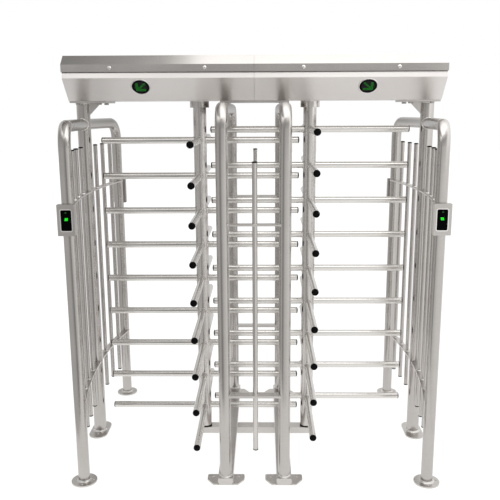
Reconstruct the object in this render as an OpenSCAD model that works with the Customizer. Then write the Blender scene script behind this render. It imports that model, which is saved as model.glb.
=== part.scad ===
// Full height turnstile: two rotors, two passages, bowed side guards and a canopy with the locks.
// Millimetres. The floor is Z 0, the front is -Y, and the rotors stand left and right of X 0.

/* [Plan] */
// Radius that the tips of the arms reach
arm_tip_r = 580; // [450:1:700]
// Gap between the tips of the arms and the other rotor's post
tip_to_rotor_gap = 22; // [10:1:60]
// Gap between the tips of the arms and the main post
tip_to_post_gap = 59; // [45:1:120]
// How far the legs' middle lines stand in front of the arms' reach
leg_gap = 30; // [20:1:80]
// Plan radius of the bowed guard rail
rail_plan_r = 3400; // [2500:10:6000]

/* [Rotors] */
// Outside diameter of the rotor post
rotor_post_d = 76; // [60:0.1:115]
// Wall of the rotor post
rotor_post_wall = 3; // [2:0.1:5]
// Gap between the rotor post's head and the canopy
head_gap = 10; // [5:0.5:20]
// Outside diameter of an arm
arm_d = 38; // [30:0.1:50]
// Wall of an arm
arm_wall = 1.5; // [1:0.1:3]
// Height of the lowest row on the left rotor
left_arm_z = 180; // [120:1:240]
// How much higher the right rotor's rows are than the left one's
arm_row_offset = 61; // [45:1:100]
// Distance of the left rotor's top row below the canopy
top_arm_drop = 224; // [150:1:300]
// Rows of arms on a rotor
arm_rows = 9; // [5:1:12]
// Wings of arms round a rotor
wings = 4; // [3:1:4]
// Thickness of a plug's rim
plug_rim_t = 3; // [1:0.5:6]
// Rise of a plug's dome
plug_dome_h = 5; // [2:0.5:10]
// Length of a plug's spigot
plug_spigot_h = 15; // [8:1:30]

/* [Side guards] */
// Outside diameter of the guard and centre frame tubes
frame_tube_d = 63; // [48:0.1:76]
// Wall of the guard and centre frame tubes
frame_tube_wall = 2; // [1.5:0.1:4]
// Centre line radius of the tube bends
bend_r = 100; // [80:1:160]
// Distance of the guard rail's top below the canopy
guard_drop = 100; // [60:1:300]
// Outside diameter of a guard bar
guard_bar_d = 25; // [18:0.1:32]
// Wall of a bar
bar_wall = 2; // [1:0.1:3]
// Distance of the first guard bar from the post
first_bar_y = 168.6; // [120:0.1:200]
// Distance of the last guard bar from the leg
last_bar_y_gap = 164.2; // [120:0.1:200]
// Guard bars on each side of a main post
bars_each_way = 3; // [2:1:3]
// Lower end of a guard bar with its cap
guard_bar_foot_z = 246; // [150:1:400]
// Distance of a guard bar's upper end below the rail's top
guard_bar_head_drop = 156; // [100:1:300]
// How far the bars stand inside the rail's arc
bar_inset = 13; // [0:0.5:20]
// Thickness of a bar's end cap
cap_t = 4; // [2:0.5:8]
// Length of the stub that holds a cap in its bar
cap_stub_h = 10; // [5:1:20]
// Width of a guard flat
guard_flat_w = 40; // [35:1:60]
// Thickness of a guard flat
guard_flat_t = 8; // [5:0.5:12]
// Top of the lower guard flat
low_flat_top_z = 478; // [350:1:600]
// Distance of the upper guard flat's top below the rail's top
high_flat_drop = 417; // [250:1:560]

/* [Main posts] */
// Outside diameter of a main post
main_post_d = 76; // [60:0.1:115]
// Wall of a main post
main_post_wall = 3; // [2:0.1:5]
// Thickness of the plate on a main post
head_plate_t = 10; // [6:0.5:15]
// Length of the head plate across the gate
head_plate_len = 205; // [180:1:300]
// How far the head plate stands in from the canopy's flat underside at front and rear
head_plate_inset = 15; // [0:1:30]
// Length of each leg of a gusset
gusset_leg = 67; // [40:1:90]
// Thickness of a gusset
gusset_t = 8; // [5:0.5:12]
// Distance of the inner canopy bolts from the head plate's inner edge
inner_bolt_edge = 45; // [25:1:80]
// Distance of the outer canopy bolts from the head plate's outer edge
outer_bolt_edge = 39; // [20:1:50]
// Distance of the canopy bolts from the head plate's front and rear edges
side_bolt_edge = 35; // [20:1:50]
// Diameter of a canopy bolt
bolt_d = 16; // [10:0.5:20]
// Width across the flats of a bolt's head and nut
bolt_across_flats = 24; // [16:0.5:30]
// Height of a bolt's head
bolt_head_h = 10; // [6:0.5:13]
// Height of a bolt's nut
bolt_nut_h = 13; // [8:0.5:16]
// Length of thread above the nut
bolt_thread_end = 3; // [1:0.5:6]

/* [Floor] */
// Diameter of a guard leg's floor flange
flange_d = 139; // [110:1:170]
// Thickness of every plate that lies on the floor
floor_plate_t = 8; // [6:0.5:12]
// Distance of the holes in a floor flange from its edge
flange_hole_edge = 18.5; // [12:0.5:25]
// Diameter of the holes in a floor flange
flange_hole_d = 12; // [8:0.5:14]
// Holes in a floor flange
flange_holes = 4; // [3:1:6]
// Width of the main post's floor plate
post_plate_w = 113; // [100:1:140]
// Length of the main post's floor plate
post_plate_len = 230; // [200:1:260]
// Distance of the holes in the post's plate from the post
post_hole_y = 66; // [60:1:90]
// Diameter of the holes in the post's plate and the centre plates
anchor_hole_d = 14; // [10:0.5:18]
// Width of a sill
sill_w = 80; // [60:1:100]
// Height of a sill and the cross beam
sill_h = 40; // [30:1:60]
// Wall of a sill and the cross beam
sill_wall = 3; // [2:0.1:5]
// How far the sills run past the legs' middle lines
sill_past_leg = 40; // [35:1:120]
// Width of the cross beam
beam_w = 70; // [50:1:90]
// How far the cross beam runs past the rotor axes
beam_past_axis = 40; // [35:1:80]
// Thickness of the plates that close the sills and the beam
end_plate_t = 3; // [2:0.5:5]
// Overall width of a centre base plate
base_plate_w = 204; // [180:1:240]
// Width of a base plate's front edge
base_plate_front_w = 133; // [100:1:160]
// Length of a base plate's chamfer along the sill
base_plate_chamfer = 50; // [30:1:70]
// Length of a base plate along the sill
base_plate_len = 102; // [80:1:130]
// Corner radius of a base plate
base_plate_corner_r = 10; // [5:1:15]
// Distance of a base plate's holes from its sides
base_hole_side_edge = 30; // [20:1:40]
// Distance of a base plate's holes from its rear edge
base_hole_rear_edge = 27; // [20:1:40]

/* [Centre frames] */
// Thickness of the tie plate between the centre frames and the canopy
tie_plate_t = 12; // [8:1:20]
// Outside diameter of a centre bar
centre_bar_d = 26.9; // [20:0.1:34]
// Lower end of a centre bar with its cap
centre_bar_foot_z = 193; // [120:1:300]
// Distance of a centre bar's upper end below the centre frames' top
centre_bar_head_drop = 296; // [150:1:400]
// How far each centre bar stands to the right of the middle, seen from its own side
centre_bar_offset = 5; // [0:1:20]
// Width of the flats between the centre frames
centre_flat_w = 50; // [40:1:60]
// Top of the lower centre flat
low_centre_flat_top_z = 513; // [400:1:650]
// Thickness of the lower centre flat
low_centre_flat_t = 13; // [8:0.5:15]
// Distance of the upper centre flat's top below the centre frames' top
high_centre_flat_drop = 610; // [450:1:750]
// Thickness of the upper centre flat
high_centre_flat_t = 8; // [5:0.5:12]
// How far the tie plate runs past the centre frames' middle lines
tie_plate_past_frame = 34; // [32:1:60]
// How far the tie plate stands in from the canopy's flat underside at front and rear
tie_plate_inset = 25; // [0:1:50]

/* [Canopy] */
// Underside of the canopy
canopy_z = 2060; // [2055:1:2080]
// How far the canopy runs past the main posts' middle lines
canopy_past_post = 43; // [40:1:100]
// Gap at the middle from each half to the middle plane
canopy_seam = 0.5; // [0.3:0.1:3]
// Thickness of the canopy's sheet
sheet_t = 2; // [1:0.1:3]
// Width of the canopy's flat underside
trough_floor_w = 280; // [270:1:320]
// Width of the canopy below its lid
trough_w = 504; // [450:1:560]
// Height of the sloped sides
slope_h = 118; // [90:1:150]
// Height of the band that leans in above the slope
band_h = 36; // [25:1:60]
// How far the band leans in
band_lean = 8; // [3:0.5:15]
// Height of the trough's upright lip
lip_h = 30; // [24:1:50]
// How far the lid stands out past the trough
lid_overhang = 3; // [2.5:0.5:10]
// Gap between the trough's lip and the lid's fold
lid_clearance = 6; // [3:0.5:12]
// Height of the lid's upright edge
lid_flange_h = 40; // [30:1:60]
// Height of the lid's bevel
bevel_h = 50; // [30:1:80]
// Width of the lid's bevel
bevel_w = 55; // [30:1:90]
// Gap between the trough's end and the lid's end wall
lid_end_gap = 1; // [0.5:0.1:3]
// Distance of the inner lid screws from the middle plane
inner_screw_x = 266; // [200:1:320]
// Distance of the outer lid screws from the canopy's ends
outer_screw_back = 260; // [150:1:350]
// Distance of the lid screws below the lid's fold
lid_screw_drop = 18; // [14:0.5:24]
// Diameter of a lid screw's head
lid_screw_head_d = 16; // [10:0.5:20]
// Height of a lid screw's head
lid_screw_head_h = 4; // [2:0.5:6]
// Diameter of a lid screw's thread
lid_screw_d = 6; // [4:0.5:8]
// Length of a lid screw's thread
lid_screw_len = 18; // [12:1:25]
// Outside diameter of the collar over a rotor post
collar_d = 110; // [95:1:130]
// Height of the collar
collar_h = 38; // [20:1:50]
// Gap between a collar and the rotor post
collar_gap = 2; // [1:0.1:3]

/* [Indicators] */
// Distance of an indicator from its rotor's axis
indicator_past_axis = 301; // [200:1:360]
// Share of the slope's height at which an indicator sits
indicator_share = 0.6246; // [0.45:0.0001:0.65]
// Diameter of an indicator's bezel
bezel_d = 100; // [80:1:110]
// How far a bezel stands out
bezel_h = 4; // [2:0.5:8]
// Chamfer round the bezel
bezel_chamfer = 1.5; // [0.5:0.1:2]
// Diameter of an indicator's window
window_d = 86; // [70:1:95]
// Thickness of an indicator's window
window_t = 2.2; // [1:0.1:3]
// How deep the window's face lies below the bezel's
window_recess = 0.8; // [0.5:0.1:2]
// Width of the ledge that the window lies on
window_ledge = 3; // [1:0.5:6]
// Depth of the bezel's barrel inside the canopy
barrel_depth = 25; // [15:1:40]
// Gap round the barrel and between window and bezel
indicator_gap = 0.3; // [0.1:0.1:1]
// Wall of the barrel outside the window
barrel_wall = 0.8; // [0.5:0.1:2]
// Half size of the lit arrow
arrow_half = 27; // [20:1:30]
// Stroke of the lit arrow
arrow_stroke = 14; // [8:1:18]
// How far the lit dots stand out of the window
arrow_t = 0.5; // [0.3:0.1:1]

/* [Readers] */
// Width of a reader's housing
reader_w = 88; // [70:1:110]
// Height of a reader's housing
reader_h = 160; // [120:1:200]
// Distance of a reader's lower edge below the guard rail's top
reader_drop = 573; // [400:1:900]
// Distance of a reader's face from its leg's middle line
reader_stand_off = 54; // [45:1:80]
// How far the housing reaches back round its leg
reader_depth = 34; // [24:1:50]
// Corner radius of the housing
reader_corner_r = 3; // [2:0.5:15]
// Width of a reader's window
reader_window_w = 47; // [40:1:70]
// Height of a reader's window
reader_window_h = 104; // [80:1:130]
// Height of the window's lower edge above the housing's
reader_window_rise = 26; // [15:1:40]
// Corner radius of the window
reader_window_r = 7; // [3:0.5:12]
// Thickness of the window
reader_window_t = 3; // [2:0.5:5]
// How far the window stands out of its housing
reader_window_proud = 0.8; // [0.3:0.1:2]

/* [Mechanism] */
// Thickness of the mechanism plate
mech_plate_t = 10; // [6:1:15]
// Length of the mechanism plate across the gate
mech_plate_len = 350; // [300:1:400]
// Gap between the mechanism plate and the folds in front of it and behind it
mech_plate_gap = 8; // [4:1:14]
// Diameter of the hole round the head shaft
shaft_hole_d = 60; // [50:1:70]
// Diameter of the head shaft
head_shaft_d = 40; // [30:1:45]
// Length of the shaft's plug inside the post
shaft_plug_h = 24; // [15:1:50]
// How far the head shaft runs past the index disc
shaft_past_disc = 8; // [3:0.5:10]
// Diameter of the bearing housing
bearing_housing_d = 100; // [90:1:120]
// Height of the bearing housing
bearing_housing_h = 28; // [24:1:28]
// Thickness of the ledge under the bearing
bearing_ledge_t = 5; // [3:1:8]
// Bore of the housing's ledge
bearing_ledge_d = 56; // [50:1:62]
// Outside diameter of the bearing
bearing_d = 68; // [60:1:80]
// Height of the bearing
bearing_h = 15; // [12:1:18]
// Running clearance of shafts and bolts in their bores
running_gap = 0.05; // [0.02:0.01:0.1]
// Gap between pieces that are pressed or welded together
fixed_gap = 0.15; // [0.1:0.05:0.3]
// Diameter of the index disc
index_disc_d = 220; // [200:1:230]
// Thickness of the index disc
index_disc_t = 10; // [6:1:12]
// Diameter of the disc's hub
index_hub_d = 64; // [56:1:80]
// Depth of the hub below the disc
index_hub_h = 7; // [4:1:12]
// Gap between the hub and the bearing housing
hub_gap = 1; // [0.5:0.1:3]
// Distance of a notch's middle from the disc's edge
notch_depth = 15; // [12:1:25]
// Diameter of the lock bolt
lock_bolt_d = 20; // [14:1:24]
// Gap between the lock bolt and its notch
notch_gap = 0.5; // [0.4:0.1:1]
// Height of the bolt's tip above the disc when open
bolt_lift = 3; // [2:0.5:5]
// Gap between the index disc and the guide plate
guide_gap = 12; // [10.5:0.5:20]
// Thickness of the bridge's plates
bridge_t = 8; // [6:1:10]
// Width of the bridge across the gate
bridge_w = 80; // [60:1:100]
// Gap between the index disc and the bridge's upright
bridge_gap = 8; // [4:1:12]
// Reach of the bridge's plates over the disc
bridge_reach = 46; // [40:1:48]
// Reach of the bridge's foot under the disc
bridge_foot_reach = 34; // [25:1:40]
// Length of the return spring when the lock is open
spring_h = 26; // [22:1:28]
// Outside diameter of the return spring
spring_d = 28; // [26:1:30]
// Gap between the spring and the bolt
spring_gap = 1; // [0.5:0.1:2]
// Diameter of the bolt's shoulder
bolt_shoulder_d = 30; // [26:1:34]
// Thickness of the bolt's shoulder
bolt_shoulder_t = 4; // [3:0.5:6]
// Gap between the bolt's shoulder and the shelf above it
shoulder_gap = 4; // [1:0.5:8]
// How far the lock bolt reaches into the solenoid
bolt_in_solenoid = 20; // [16:1:23]
// Diameter of the solenoid
solenoid_d = 56; // [45:1:60]
// Height of the solenoid
solenoid_h = 56; // [45:1:60]
// Depth of the solenoid's bore
solenoid_bore_h = 26; // [24:1:30]
// Gap round the bolt in the solenoid and the shelf
solenoid_gap = 0.8; // [0.4:0.1:2]

/* [Pivots] */
// Diameter of the foot seal ring
seal_d = 80; // [76:1:90]
// Diameter of the pedestal on the beam
pedestal_d = 60; // [50:1:66]
// Height of the pedestal and the seal ring
pedestal_h = 8; // [6:0.5:8]
// Gap between the pedestal and the seal ring
seal_gap = 0.5; // [0.3:0.1:2]
// Diameter of the thrust shoulder
thrust_d = 44; // [36:1:50]
// Height of the thrust shoulder
thrust_h = 2.5; // [1:0.1:2.6]
// Diameter of the pivot pin
pivot_d = 30; // [20:1:36]
// Gap between the thrust shoulder and the foot of the rotor post
foot_gap = 0.5; // [0.3:0.1:2]
// Height of the pivot pin
pivot_h = 60; // [40:1:80]
// Length of the foot bush
bush_h = 50; // [30:1:60]

/* [Electrics] */
// Length of the control board
board_len = 160; // [100:1:170]
// Width of the control board
board_w = 110; // [80:1:130]
// Thickness of the control board
board_t = 1.6; // [1:0.1:2.4]
// Gap between the mechanism plate and the control board
board_gap = 25; // [10:1:60]
// Height of the board's stand-offs
standoff_h = 12; // [8:1:20]
// Diameter of a stand-off
standoff_d = 8; // [5:0.5:10]
// Distance of a stand-off from the board's edges
standoff_inset = 8; // [6:0.5:15]
// Length of the power supply across the gate
supply_len = 90; // [60:1:100]
// Width of the power supply from front to rear
supply_w = 150; // [100:1:150]
// Height of the power supply
supply_h = 42; // [30:1:60]
// Gap between the control board and the power supply
supply_gap = 25; // [10:1:60]

/* [Hidden] */
$fn = 48;
plan_facets = 720;
// How far a cut runs past the face that it opens
cut = 1;

rotor_post_r = rotor_post_d / 2;
main_post_r = main_post_d / 2;
frame_tube_r = frame_tube_d / 2;

// Plan: the arms' reach sets the rotors apart and clears the posts, the legs and the frames.
rotor_axis_x = (arm_tip_r + rotor_post_r + tip_to_rotor_gap) / 2;
centre_frame_x = rotor_axis_x / 2;
main_post_x = rotor_axis_x + arm_tip_r + tip_to_post_gap + main_post_r;
leg_y = arm_tip_r + leg_gap;
canopy_end_x = main_post_x + canopy_past_post;
sill_end_y = leg_y + sill_past_leg;
beam_end_x = rotor_axis_x + beam_past_axis;

// Levels: everything above the arms hangs from the canopy's underside.
guard_top_z = canopy_z - guard_drop;
guard_axis_z = guard_top_z - frame_tube_r;
guard_bar_head_z = guard_top_z - guard_bar_head_drop;
high_flat_top_z = guard_top_z - high_flat_drop;
reader_z = guard_top_z - reader_drop;
centre_top_z = canopy_z - tie_plate_t;
centre_axis_z = centre_top_z - frame_tube_r;
centre_bar_head_z = centre_top_z - centre_bar_head_drop;
high_centre_flat_top_z = centre_top_z - high_centre_flat_drop;

pedestal_top_z = sill_h + pedestal_h;
rotor_foot_z = pedestal_top_z + thrust_h + foot_gap;
rotor_head_z = canopy_z - head_gap;
right_arm_z = left_arm_z + arm_row_offset;
arm_pitch = (canopy_z - top_arm_drop - left_arm_z) / (arm_rows - 1);

rail_angle = asin(leg_y / sqrt(rail_plan_r ^ 2 + bend_r ^ 2)) - atan(bend_r / rail_plan_r);
rail_centre_x = main_post_x - rail_plan_r;
rail_end_x = rail_centre_x + rail_plan_r * cos(rail_angle);
guard_leg_x = rail_end_x - bend_r * sin(rail_angle);

bar_pitch_y = (leg_y - first_bar_y - last_bar_y_gap) / (bars_each_way - 1);
bar_arc_r = rail_plan_r - bar_inset;
flat_angle = asin(leg_y / bar_arc_r);

head_plate_z = canopy_z - head_plate_t;
head_plate_w = trough_floor_w - 2 * head_plate_inset;
head_plate_from_x = canopy_end_x - head_plate_len;
inner_bolt_x = head_plate_from_x + inner_bolt_edge;
outer_bolt_x = canopy_end_x - outer_bolt_edge;
bolt_y = head_plate_w / 2 - side_bolt_edge;
bolt_across_corners = bolt_across_flats / cos(30);
bolt_hole_d = bolt_d + 2 * notch_gap;

// Folds of the trough and the lid, from the underside up
knee_z = canopy_z + slope_h;
lip_fold_z = knee_z + band_h;
trough_top_z = lip_fold_z + lip_h;
lid_fold_z = trough_top_z + lid_clearance;
lid_foot_z = lid_fold_z - lid_flange_h;
lid_top_z = lid_fold_z + bevel_h;
lid_w = trough_w + 2 * lid_overhang;
lid_screw_z = lid_fold_z - lid_screw_drop;
outer_screw_x = canopy_end_x - outer_screw_back;
trough_floor_z = canopy_z + sheet_t;
lid_end_x = canopy_end_x + lid_end_gap + sheet_t;

// Corners of the folded sheets in Y and Z, and the angles at which their folds run
floor_corner = [trough_floor_w / 2, canopy_z];
knee_corner = [trough_w / 2, knee_z];
lip_corner = [trough_w / 2 - band_lean, lip_fold_z];
fold_corner = [lid_w / 2, lid_fold_z];
flat_corner = [lid_w / 2 - bevel_w, lid_top_z];
slope_angle = atan(slope_h / (knee_corner.x - floor_corner.x));
lip_angle = 90 + atan(band_lean / band_h);
bevel_angle = 90 + atan(bevel_w / bevel_h);

indicator_x = rotor_axis_x + indicator_past_axis;
indicator_y = floor_corner.x + indicator_share * (knee_corner.x - floor_corner.x);
indicator_z = canopy_z + indicator_share * slope_h;
barrel_r = window_d / 2 + barrel_wall;
reader_face_y = leg_y + reader_stand_off;

// Mechanism, from the canopy's floor up
mech_top_z = trough_floor_z + mech_plate_t;
mech_plate_w = trough_floor_w - 2 * mech_plate_gap;
bearing_z = mech_top_z + bearing_ledge_t;
index_disc_z = mech_top_z + bearing_housing_h + hub_gap + index_hub_h;
index_disc_top_z = index_disc_z + index_disc_t;
head_shaft_top_z = index_disc_top_z + shaft_past_disc;
lock_bolt_r = index_disc_d / 2 - notch_depth;
bridge_upright_y = index_disc_d / 2 + bridge_gap;
guide_plate_z = index_disc_top_z + guide_gap;
spring_z = guide_plate_z + bridge_t;
shelf_z = spring_z + spring_h + bolt_shoulder_t + shoulder_gap;
solenoid_z = shelf_z + bridge_t;
lock_bolt_top_z = solenoid_z + bolt_in_solenoid;
board_x = rotor_axis_x + mech_plate_len / 2 + board_gap + board_len / 2;
supply_x = board_x + board_len / 2 + supply_gap + supply_len / 2;

// Everything is drawn on the right, and these place the copies.

module to_left() {
    mirror([1, 0, 0])
        children();
}

module both_sides() {
    children();
    to_left()
        children();
}

module front_and_rear() {
    children();
    mirror([0, 1, 0])
        children();
}

module tube(h, d, wall) {
    difference() {
        cylinder(h = h, d = d);
        translate([0, 0, -cut])
            cylinder(h = h + 2 * cut, d = d - 2 * wall);
    }
}

module block_on_plane(size) {
    translate([-size.x / 2, -size.y / 2, 0])
        cube(size);
}

module rounded_rectangle(w, h, r) {
    translate([r - w / 2, -h / 2])
        square([w - 2 * r, h]);
    translate([-w / 2, r - h / 2])
        square([w, h - 2 * r]);
    for (x = [r - w / 2, w / 2 - r], y = [r - h / 2, h / 2 - r])
        translate([x, y])
            circle(r = r);
}

// A low dome that fills a ring of radius r and rises by h.
module dome_profile(r, h) {
    sphere_r = (r ^ 2 + h ^ 2) / (2 * h);
    intersection() {
        translate([0, h - sphere_r])
            circle(r = sphere_r, $fn = plan_facets);
        square([r, h]);
    }
}

// Turns a profile drawn in Y and Z into a length along X.
module along_x(from, to) {
    translate([from, 0, 0])
        rotate([90, 0, 90])
            linear_extrude(height = to - from)
                children();
}

// Side guards: a bent leg and a bowed rail to the front of each main post and to its rear.

// A leg and its bend, drawn from the leg's foot with the rail leaving towards -Y.
module guard_leg_path(r, past) {
    leg_h = guard_axis_z - bend_r - floor_plate_t;
    translate([0, 0, -past])
        cylinder(h = leg_h + past, r = r);
    translate([0, -bend_r, leg_h])
        rotate([0, 0, 90])
            rotate([90, 0, 0])
                rotate_extrude(angle = 90)
                    translate([bend_r, 0])
                        circle(r = r);
}

module guard_leg() {
    translate([guard_leg_x, leg_y, floor_plate_t])
        rotate([0, 0, rail_angle])
            difference() {
                guard_leg_path(frame_tube_r, 0);
                guard_leg_path(frame_tube_r - frame_tube_wall, cut);
            }
}

// The bowed rail ends one weld gap short of its leg and is coped round the post.
module guard_rail() {
    weld_angle = asin(fixed_gap / rail_plan_r);
    difference() {
        translate([rail_centre_x, 0, guard_axis_z])
            rotate_extrude(angle = rail_angle - weld_angle, $fn = plan_facets)
                translate([rail_plan_r, 0])
                    difference() {
                        circle(r = frame_tube_r, $fn = 48);
                        circle(r = frame_tube_r - frame_tube_wall, $fn = 48);
                    }
        translate([main_post_x, 0, guard_axis_z - frame_tube_d])
            cylinder(h = 2 * frame_tube_d, r = main_post_r + fixed_gap);
    }
}

module guard_tube() {
    front_and_rear() {
        guard_leg();
        guard_rail();
    }
}

function bar_y(i) = first_bar_y + i * bar_pitch_y;
function bar_x(i) = rail_centre_x + sqrt(bar_arc_r ^ 2 - bar_y(i) ^ 2);

module at_guard_bars() {
    front_and_rear()
        for (i = [0:bars_each_way - 1])
            translate([bar_x(i), bar_y(i), 0])
                children();
}

module guard_bars() {
    at_guard_bars()
        translate([0, 0, guard_bar_foot_z + cap_t])
            tube(guard_bar_head_z - guard_bar_foot_z - 2 * cap_t, guard_bar_d, bar_wall);
}

// A cap with its stub upwards, as it closes the lower end of a bar.
module bar_cap(d) {
    cylinder(h = cap_t, d = d);
    cylinder(h = cap_t + cap_stub_h, d = d - 2 * (bar_wall + fixed_gap));
}

module bar_cap_pair(d, foot_z, head_z) {
    translate([0, 0, foot_z])
        bar_cap(d);
    translate([0, 0, head_z])
        mirror([0, 0, 1])
            bar_cap(d);
}

module bar_end_caps() {
    color("#1c1c1e") {
        both_sides()
            at_guard_bars()
                bar_cap_pair(guard_bar_d, guard_bar_foot_z, guard_bar_head_z);
        at_centre_bars()
            bar_cap_pair(centre_bar_d, centre_bar_foot_z, centre_bar_head_z);
    }
}

module guard_flat(top_z) {
    translate([rail_centre_x, 0, top_z - guard_flat_t])
        rotate_extrude(angle = flat_angle, $fn = plan_facets)
            translate([bar_arc_r - guard_flat_w / 2, 0])
                square([guard_flat_w, guard_flat_t]);
}

module guard_flats() {
    front_and_rear()
        difference() {
            for (top_z = [low_flat_top_z, high_flat_top_z])
                guard_flat(top_z);
            translate([main_post_x, 0, 0])
                cylinder(h = guard_top_z, r = main_post_r + fixed_gap);
            translate([guard_leg_x, leg_y, 0])
                cylinder(h = guard_top_z, r = frame_tube_r + fixed_gap);
            for (i = [0:bars_each_way - 1])
                translate([bar_x(i), bar_y(i), 0])
                    cylinder(h = guard_top_z, r = guard_bar_d / 2 + fixed_gap);
        }
}

module left_guard_tube() {
    color("#b9b6b1")
        to_left()
            guard_tube();
}

module right_guard_tube() {
    color("#b9b6b1")
        guard_tube();
}

module left_guard_bars() {
    color("#b9b6b1")
        to_left()
            guard_bars();
}

module right_guard_bars() {
    color("#b9b6b1")
        guard_bars();
}

module left_guard_flats() {
    color("#aeaba6")
        to_left()
            guard_flats();
}

module right_guard_flats() {
    color("#aeaba6")
        guard_flats();
}

module guard_floor_flanges() {
    color("#aeaba6")
        both_sides()
            front_and_rear()
                translate([guard_leg_x, leg_y, 0])
                    difference() {
                        cylinder(h = floor_plate_t, d = flange_d);
                        for (i = [0:flange_holes - 1])
                            rotate([0, 0, i * 360 / flange_holes])
                                translate([flange_d / 2 - flange_hole_edge, 0, -cut])
                                    cylinder(h = floor_plate_t + 2 * cut, d = flange_hole_d);
                    }
}

// Main posts, with the plates that join them to the floor and the canopy.

module main_post() {
    translate([main_post_x, 0, floor_plate_t])
        tube(head_plate_z - floor_plate_t, main_post_d, main_post_wall);
}

module left_main_post() {
    color("#b9b6b1")
        to_left()
            main_post();
}

module right_main_post() {
    color("#b9b6b1")
        main_post();
}

module post_gussets() {
    tip_x = main_post_x - main_post_r - gusset_leg;
    color("#aeaba6")
        both_sides()
            difference() {
                translate([0, gusset_t / 2, head_plate_z])
                    rotate([90, 0, 0])
                        linear_extrude(height = gusset_t)
                            polygon([
                                [tip_x, 0],
                                [main_post_x, 0],
                                [main_post_x, -gusset_leg],
                                [tip_x + gusset_leg, -gusset_leg]
                            ]);
                translate([main_post_x, 0, head_plate_z - gusset_leg - cut])
                    cylinder(h = gusset_leg + 2 * cut, r = main_post_r + fixed_gap);
            }
}

module post_floor_plates() {
    end_y = (post_plate_len - post_plate_w) / 2;
    color("#aeaba6")
        both_sides()
            translate([main_post_x, 0, 0])
                difference() {
                    linear_extrude(height = floor_plate_t) {
                        translate([-post_plate_w / 2, -end_y])
                            square([post_plate_w, 2 * end_y]);
                        for (y = [-end_y, end_y])
                            translate([0, y])
                                circle(d = post_plate_w);
                    }
                    for (y = [-post_hole_y, post_hole_y])
                        translate([0, y, -cut])
                            cylinder(h = floor_plate_t + 2 * cut, d = anchor_hole_d);
                }
}

module at_canopy_bolts() {
    front_and_rear()
        for (x = [inner_bolt_x, outer_bolt_x])
            translate([x, bolt_y, 0])
                children();
}

module post_head_plates() {
    color("#aeaba6")
        both_sides()
            difference() {
                translate([head_plate_from_x, -head_plate_w / 2, head_plate_z])
                    cube([head_plate_len, head_plate_w, head_plate_t]);
                at_canopy_bolts()
                    translate([0, 0, head_plate_z - cut])
                        cylinder(h = head_plate_t + 2 * cut, d = bolt_hole_d);
            }
}

module canopy_bolts() {
    shank_h = head_plate_t + sheet_t + bolt_nut_h + bolt_thread_end;
    color("#9a9894")
        both_sides()
            at_canopy_bolts()
                translate([0, 0, head_plate_z]) {
                    translate([0, 0, -bolt_head_h])
                        cylinder(h = bolt_head_h, d = bolt_across_corners, $fn = 6);
                    cylinder(h = shank_h, d = bolt_d);
                }
}

module canopy_nuts() {
    color("#9a9894")
        both_sides()
            at_canopy_bolts()
                translate([0, 0, trough_floor_z])
                    difference() {
                        cylinder(h = bolt_nut_h, d = bolt_across_corners, $fn = 6);
                        translate([0, 0, -cut])
                            cylinder(h = bolt_nut_h + 2 * cut, d = bolt_d + 2 * fixed_gap);
                    }
}

// Centre frames: a bent tube over each side of the rotors, standing on a sill.

module centre_path(r, below) {
    front_and_rear() {
        translate([centre_frame_x, leg_y, sill_h - below])
            cylinder(h = centre_axis_z - bend_r - sill_h + below, r = r);
        translate([centre_frame_x, leg_y - bend_r, centre_axis_z - bend_r])
            rotate([0, 0, 90])
                rotate([90, 0, 0])
                    rotate_extrude(angle = 90)
                        translate([bend_r, 0])
                            circle(r = r);
    }
    translate([centre_frame_x, bend_r - leg_y, centre_axis_z])
        rotate([-90, 0, 0])
            cylinder(h = 2 * (leg_y - bend_r), r = r);
}

module centre_frame() {
    difference() {
        centre_path(frame_tube_r, 0);
        centre_path(frame_tube_r - frame_tube_wall, cut);
    }
}

module left_centre_frame() {
    color("#b9b6b1")
        to_left()
            centre_frame();
}

module right_centre_frame() {
    color("#b9b6b1")
        centre_frame();
}

module centre_flat(top_z, t) {
    translate([0, leg_y, top_z - t])
        block_on_plane([2 * centre_frame_x, centre_flat_w, t]);
}

module at_centre_bars() {
    for (turn = [0, 180])
        rotate([0, 0, turn])
            translate([centre_bar_offset, -leg_y, 0])
                children();
}

module centre_cross_flats() {
    color("#aeaba6")
        difference() {
            front_and_rear() {
                centre_flat(low_centre_flat_top_z, low_centre_flat_t);
                centre_flat(high_centre_flat_top_z, high_centre_flat_t);
            }
            both_sides()
                front_and_rear()
                    translate([centre_frame_x, leg_y, 0])
                        cylinder(h = centre_top_z, r = frame_tube_r + fixed_gap);
            at_centre_bars()
                cylinder(h = centre_top_z, r = centre_bar_d / 2 + fixed_gap);
        }
}

module centre_bars() {
    color("#b9b6b1")
        at_centre_bars()
            translate([0, 0, centre_bar_foot_z + cap_t])
                tube(centre_bar_head_z - centre_bar_foot_z - 2 * cap_t, centre_bar_d, bar_wall);
}

module centre_tie_plate() {
    color("#aeaba6")
        translate([0, 0, centre_top_z])
            block_on_plane([
                2 * (centre_frame_x + tie_plate_past_frame),
                trough_floor_w - 2 * tie_plate_inset,
                tie_plate_t
            ]);
}

// Floor frame: two sills, a beam across them, closing plates and bolted wings.

// A box tube drawn on the floor along Y, from one end to the other.
module box_tube(w, h, len) {
    translate([0, len / 2, 0])
        rotate([90, 0, 0])
            linear_extrude(height = len)
                difference() {
                    translate([-w / 2, 0])
                        square([w, h]);
                    translate([sill_wall - w / 2, sill_wall])
                        square([w - 2 * sill_wall, h - 2 * sill_wall]);
                }
}

module floor_sills() {
    color("#b9b6b1")
        both_sides()
            translate([centre_frame_x, 0, 0])
                box_tube(sill_w, sill_h, 2 * (sill_end_y - end_plate_t));
}

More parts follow.
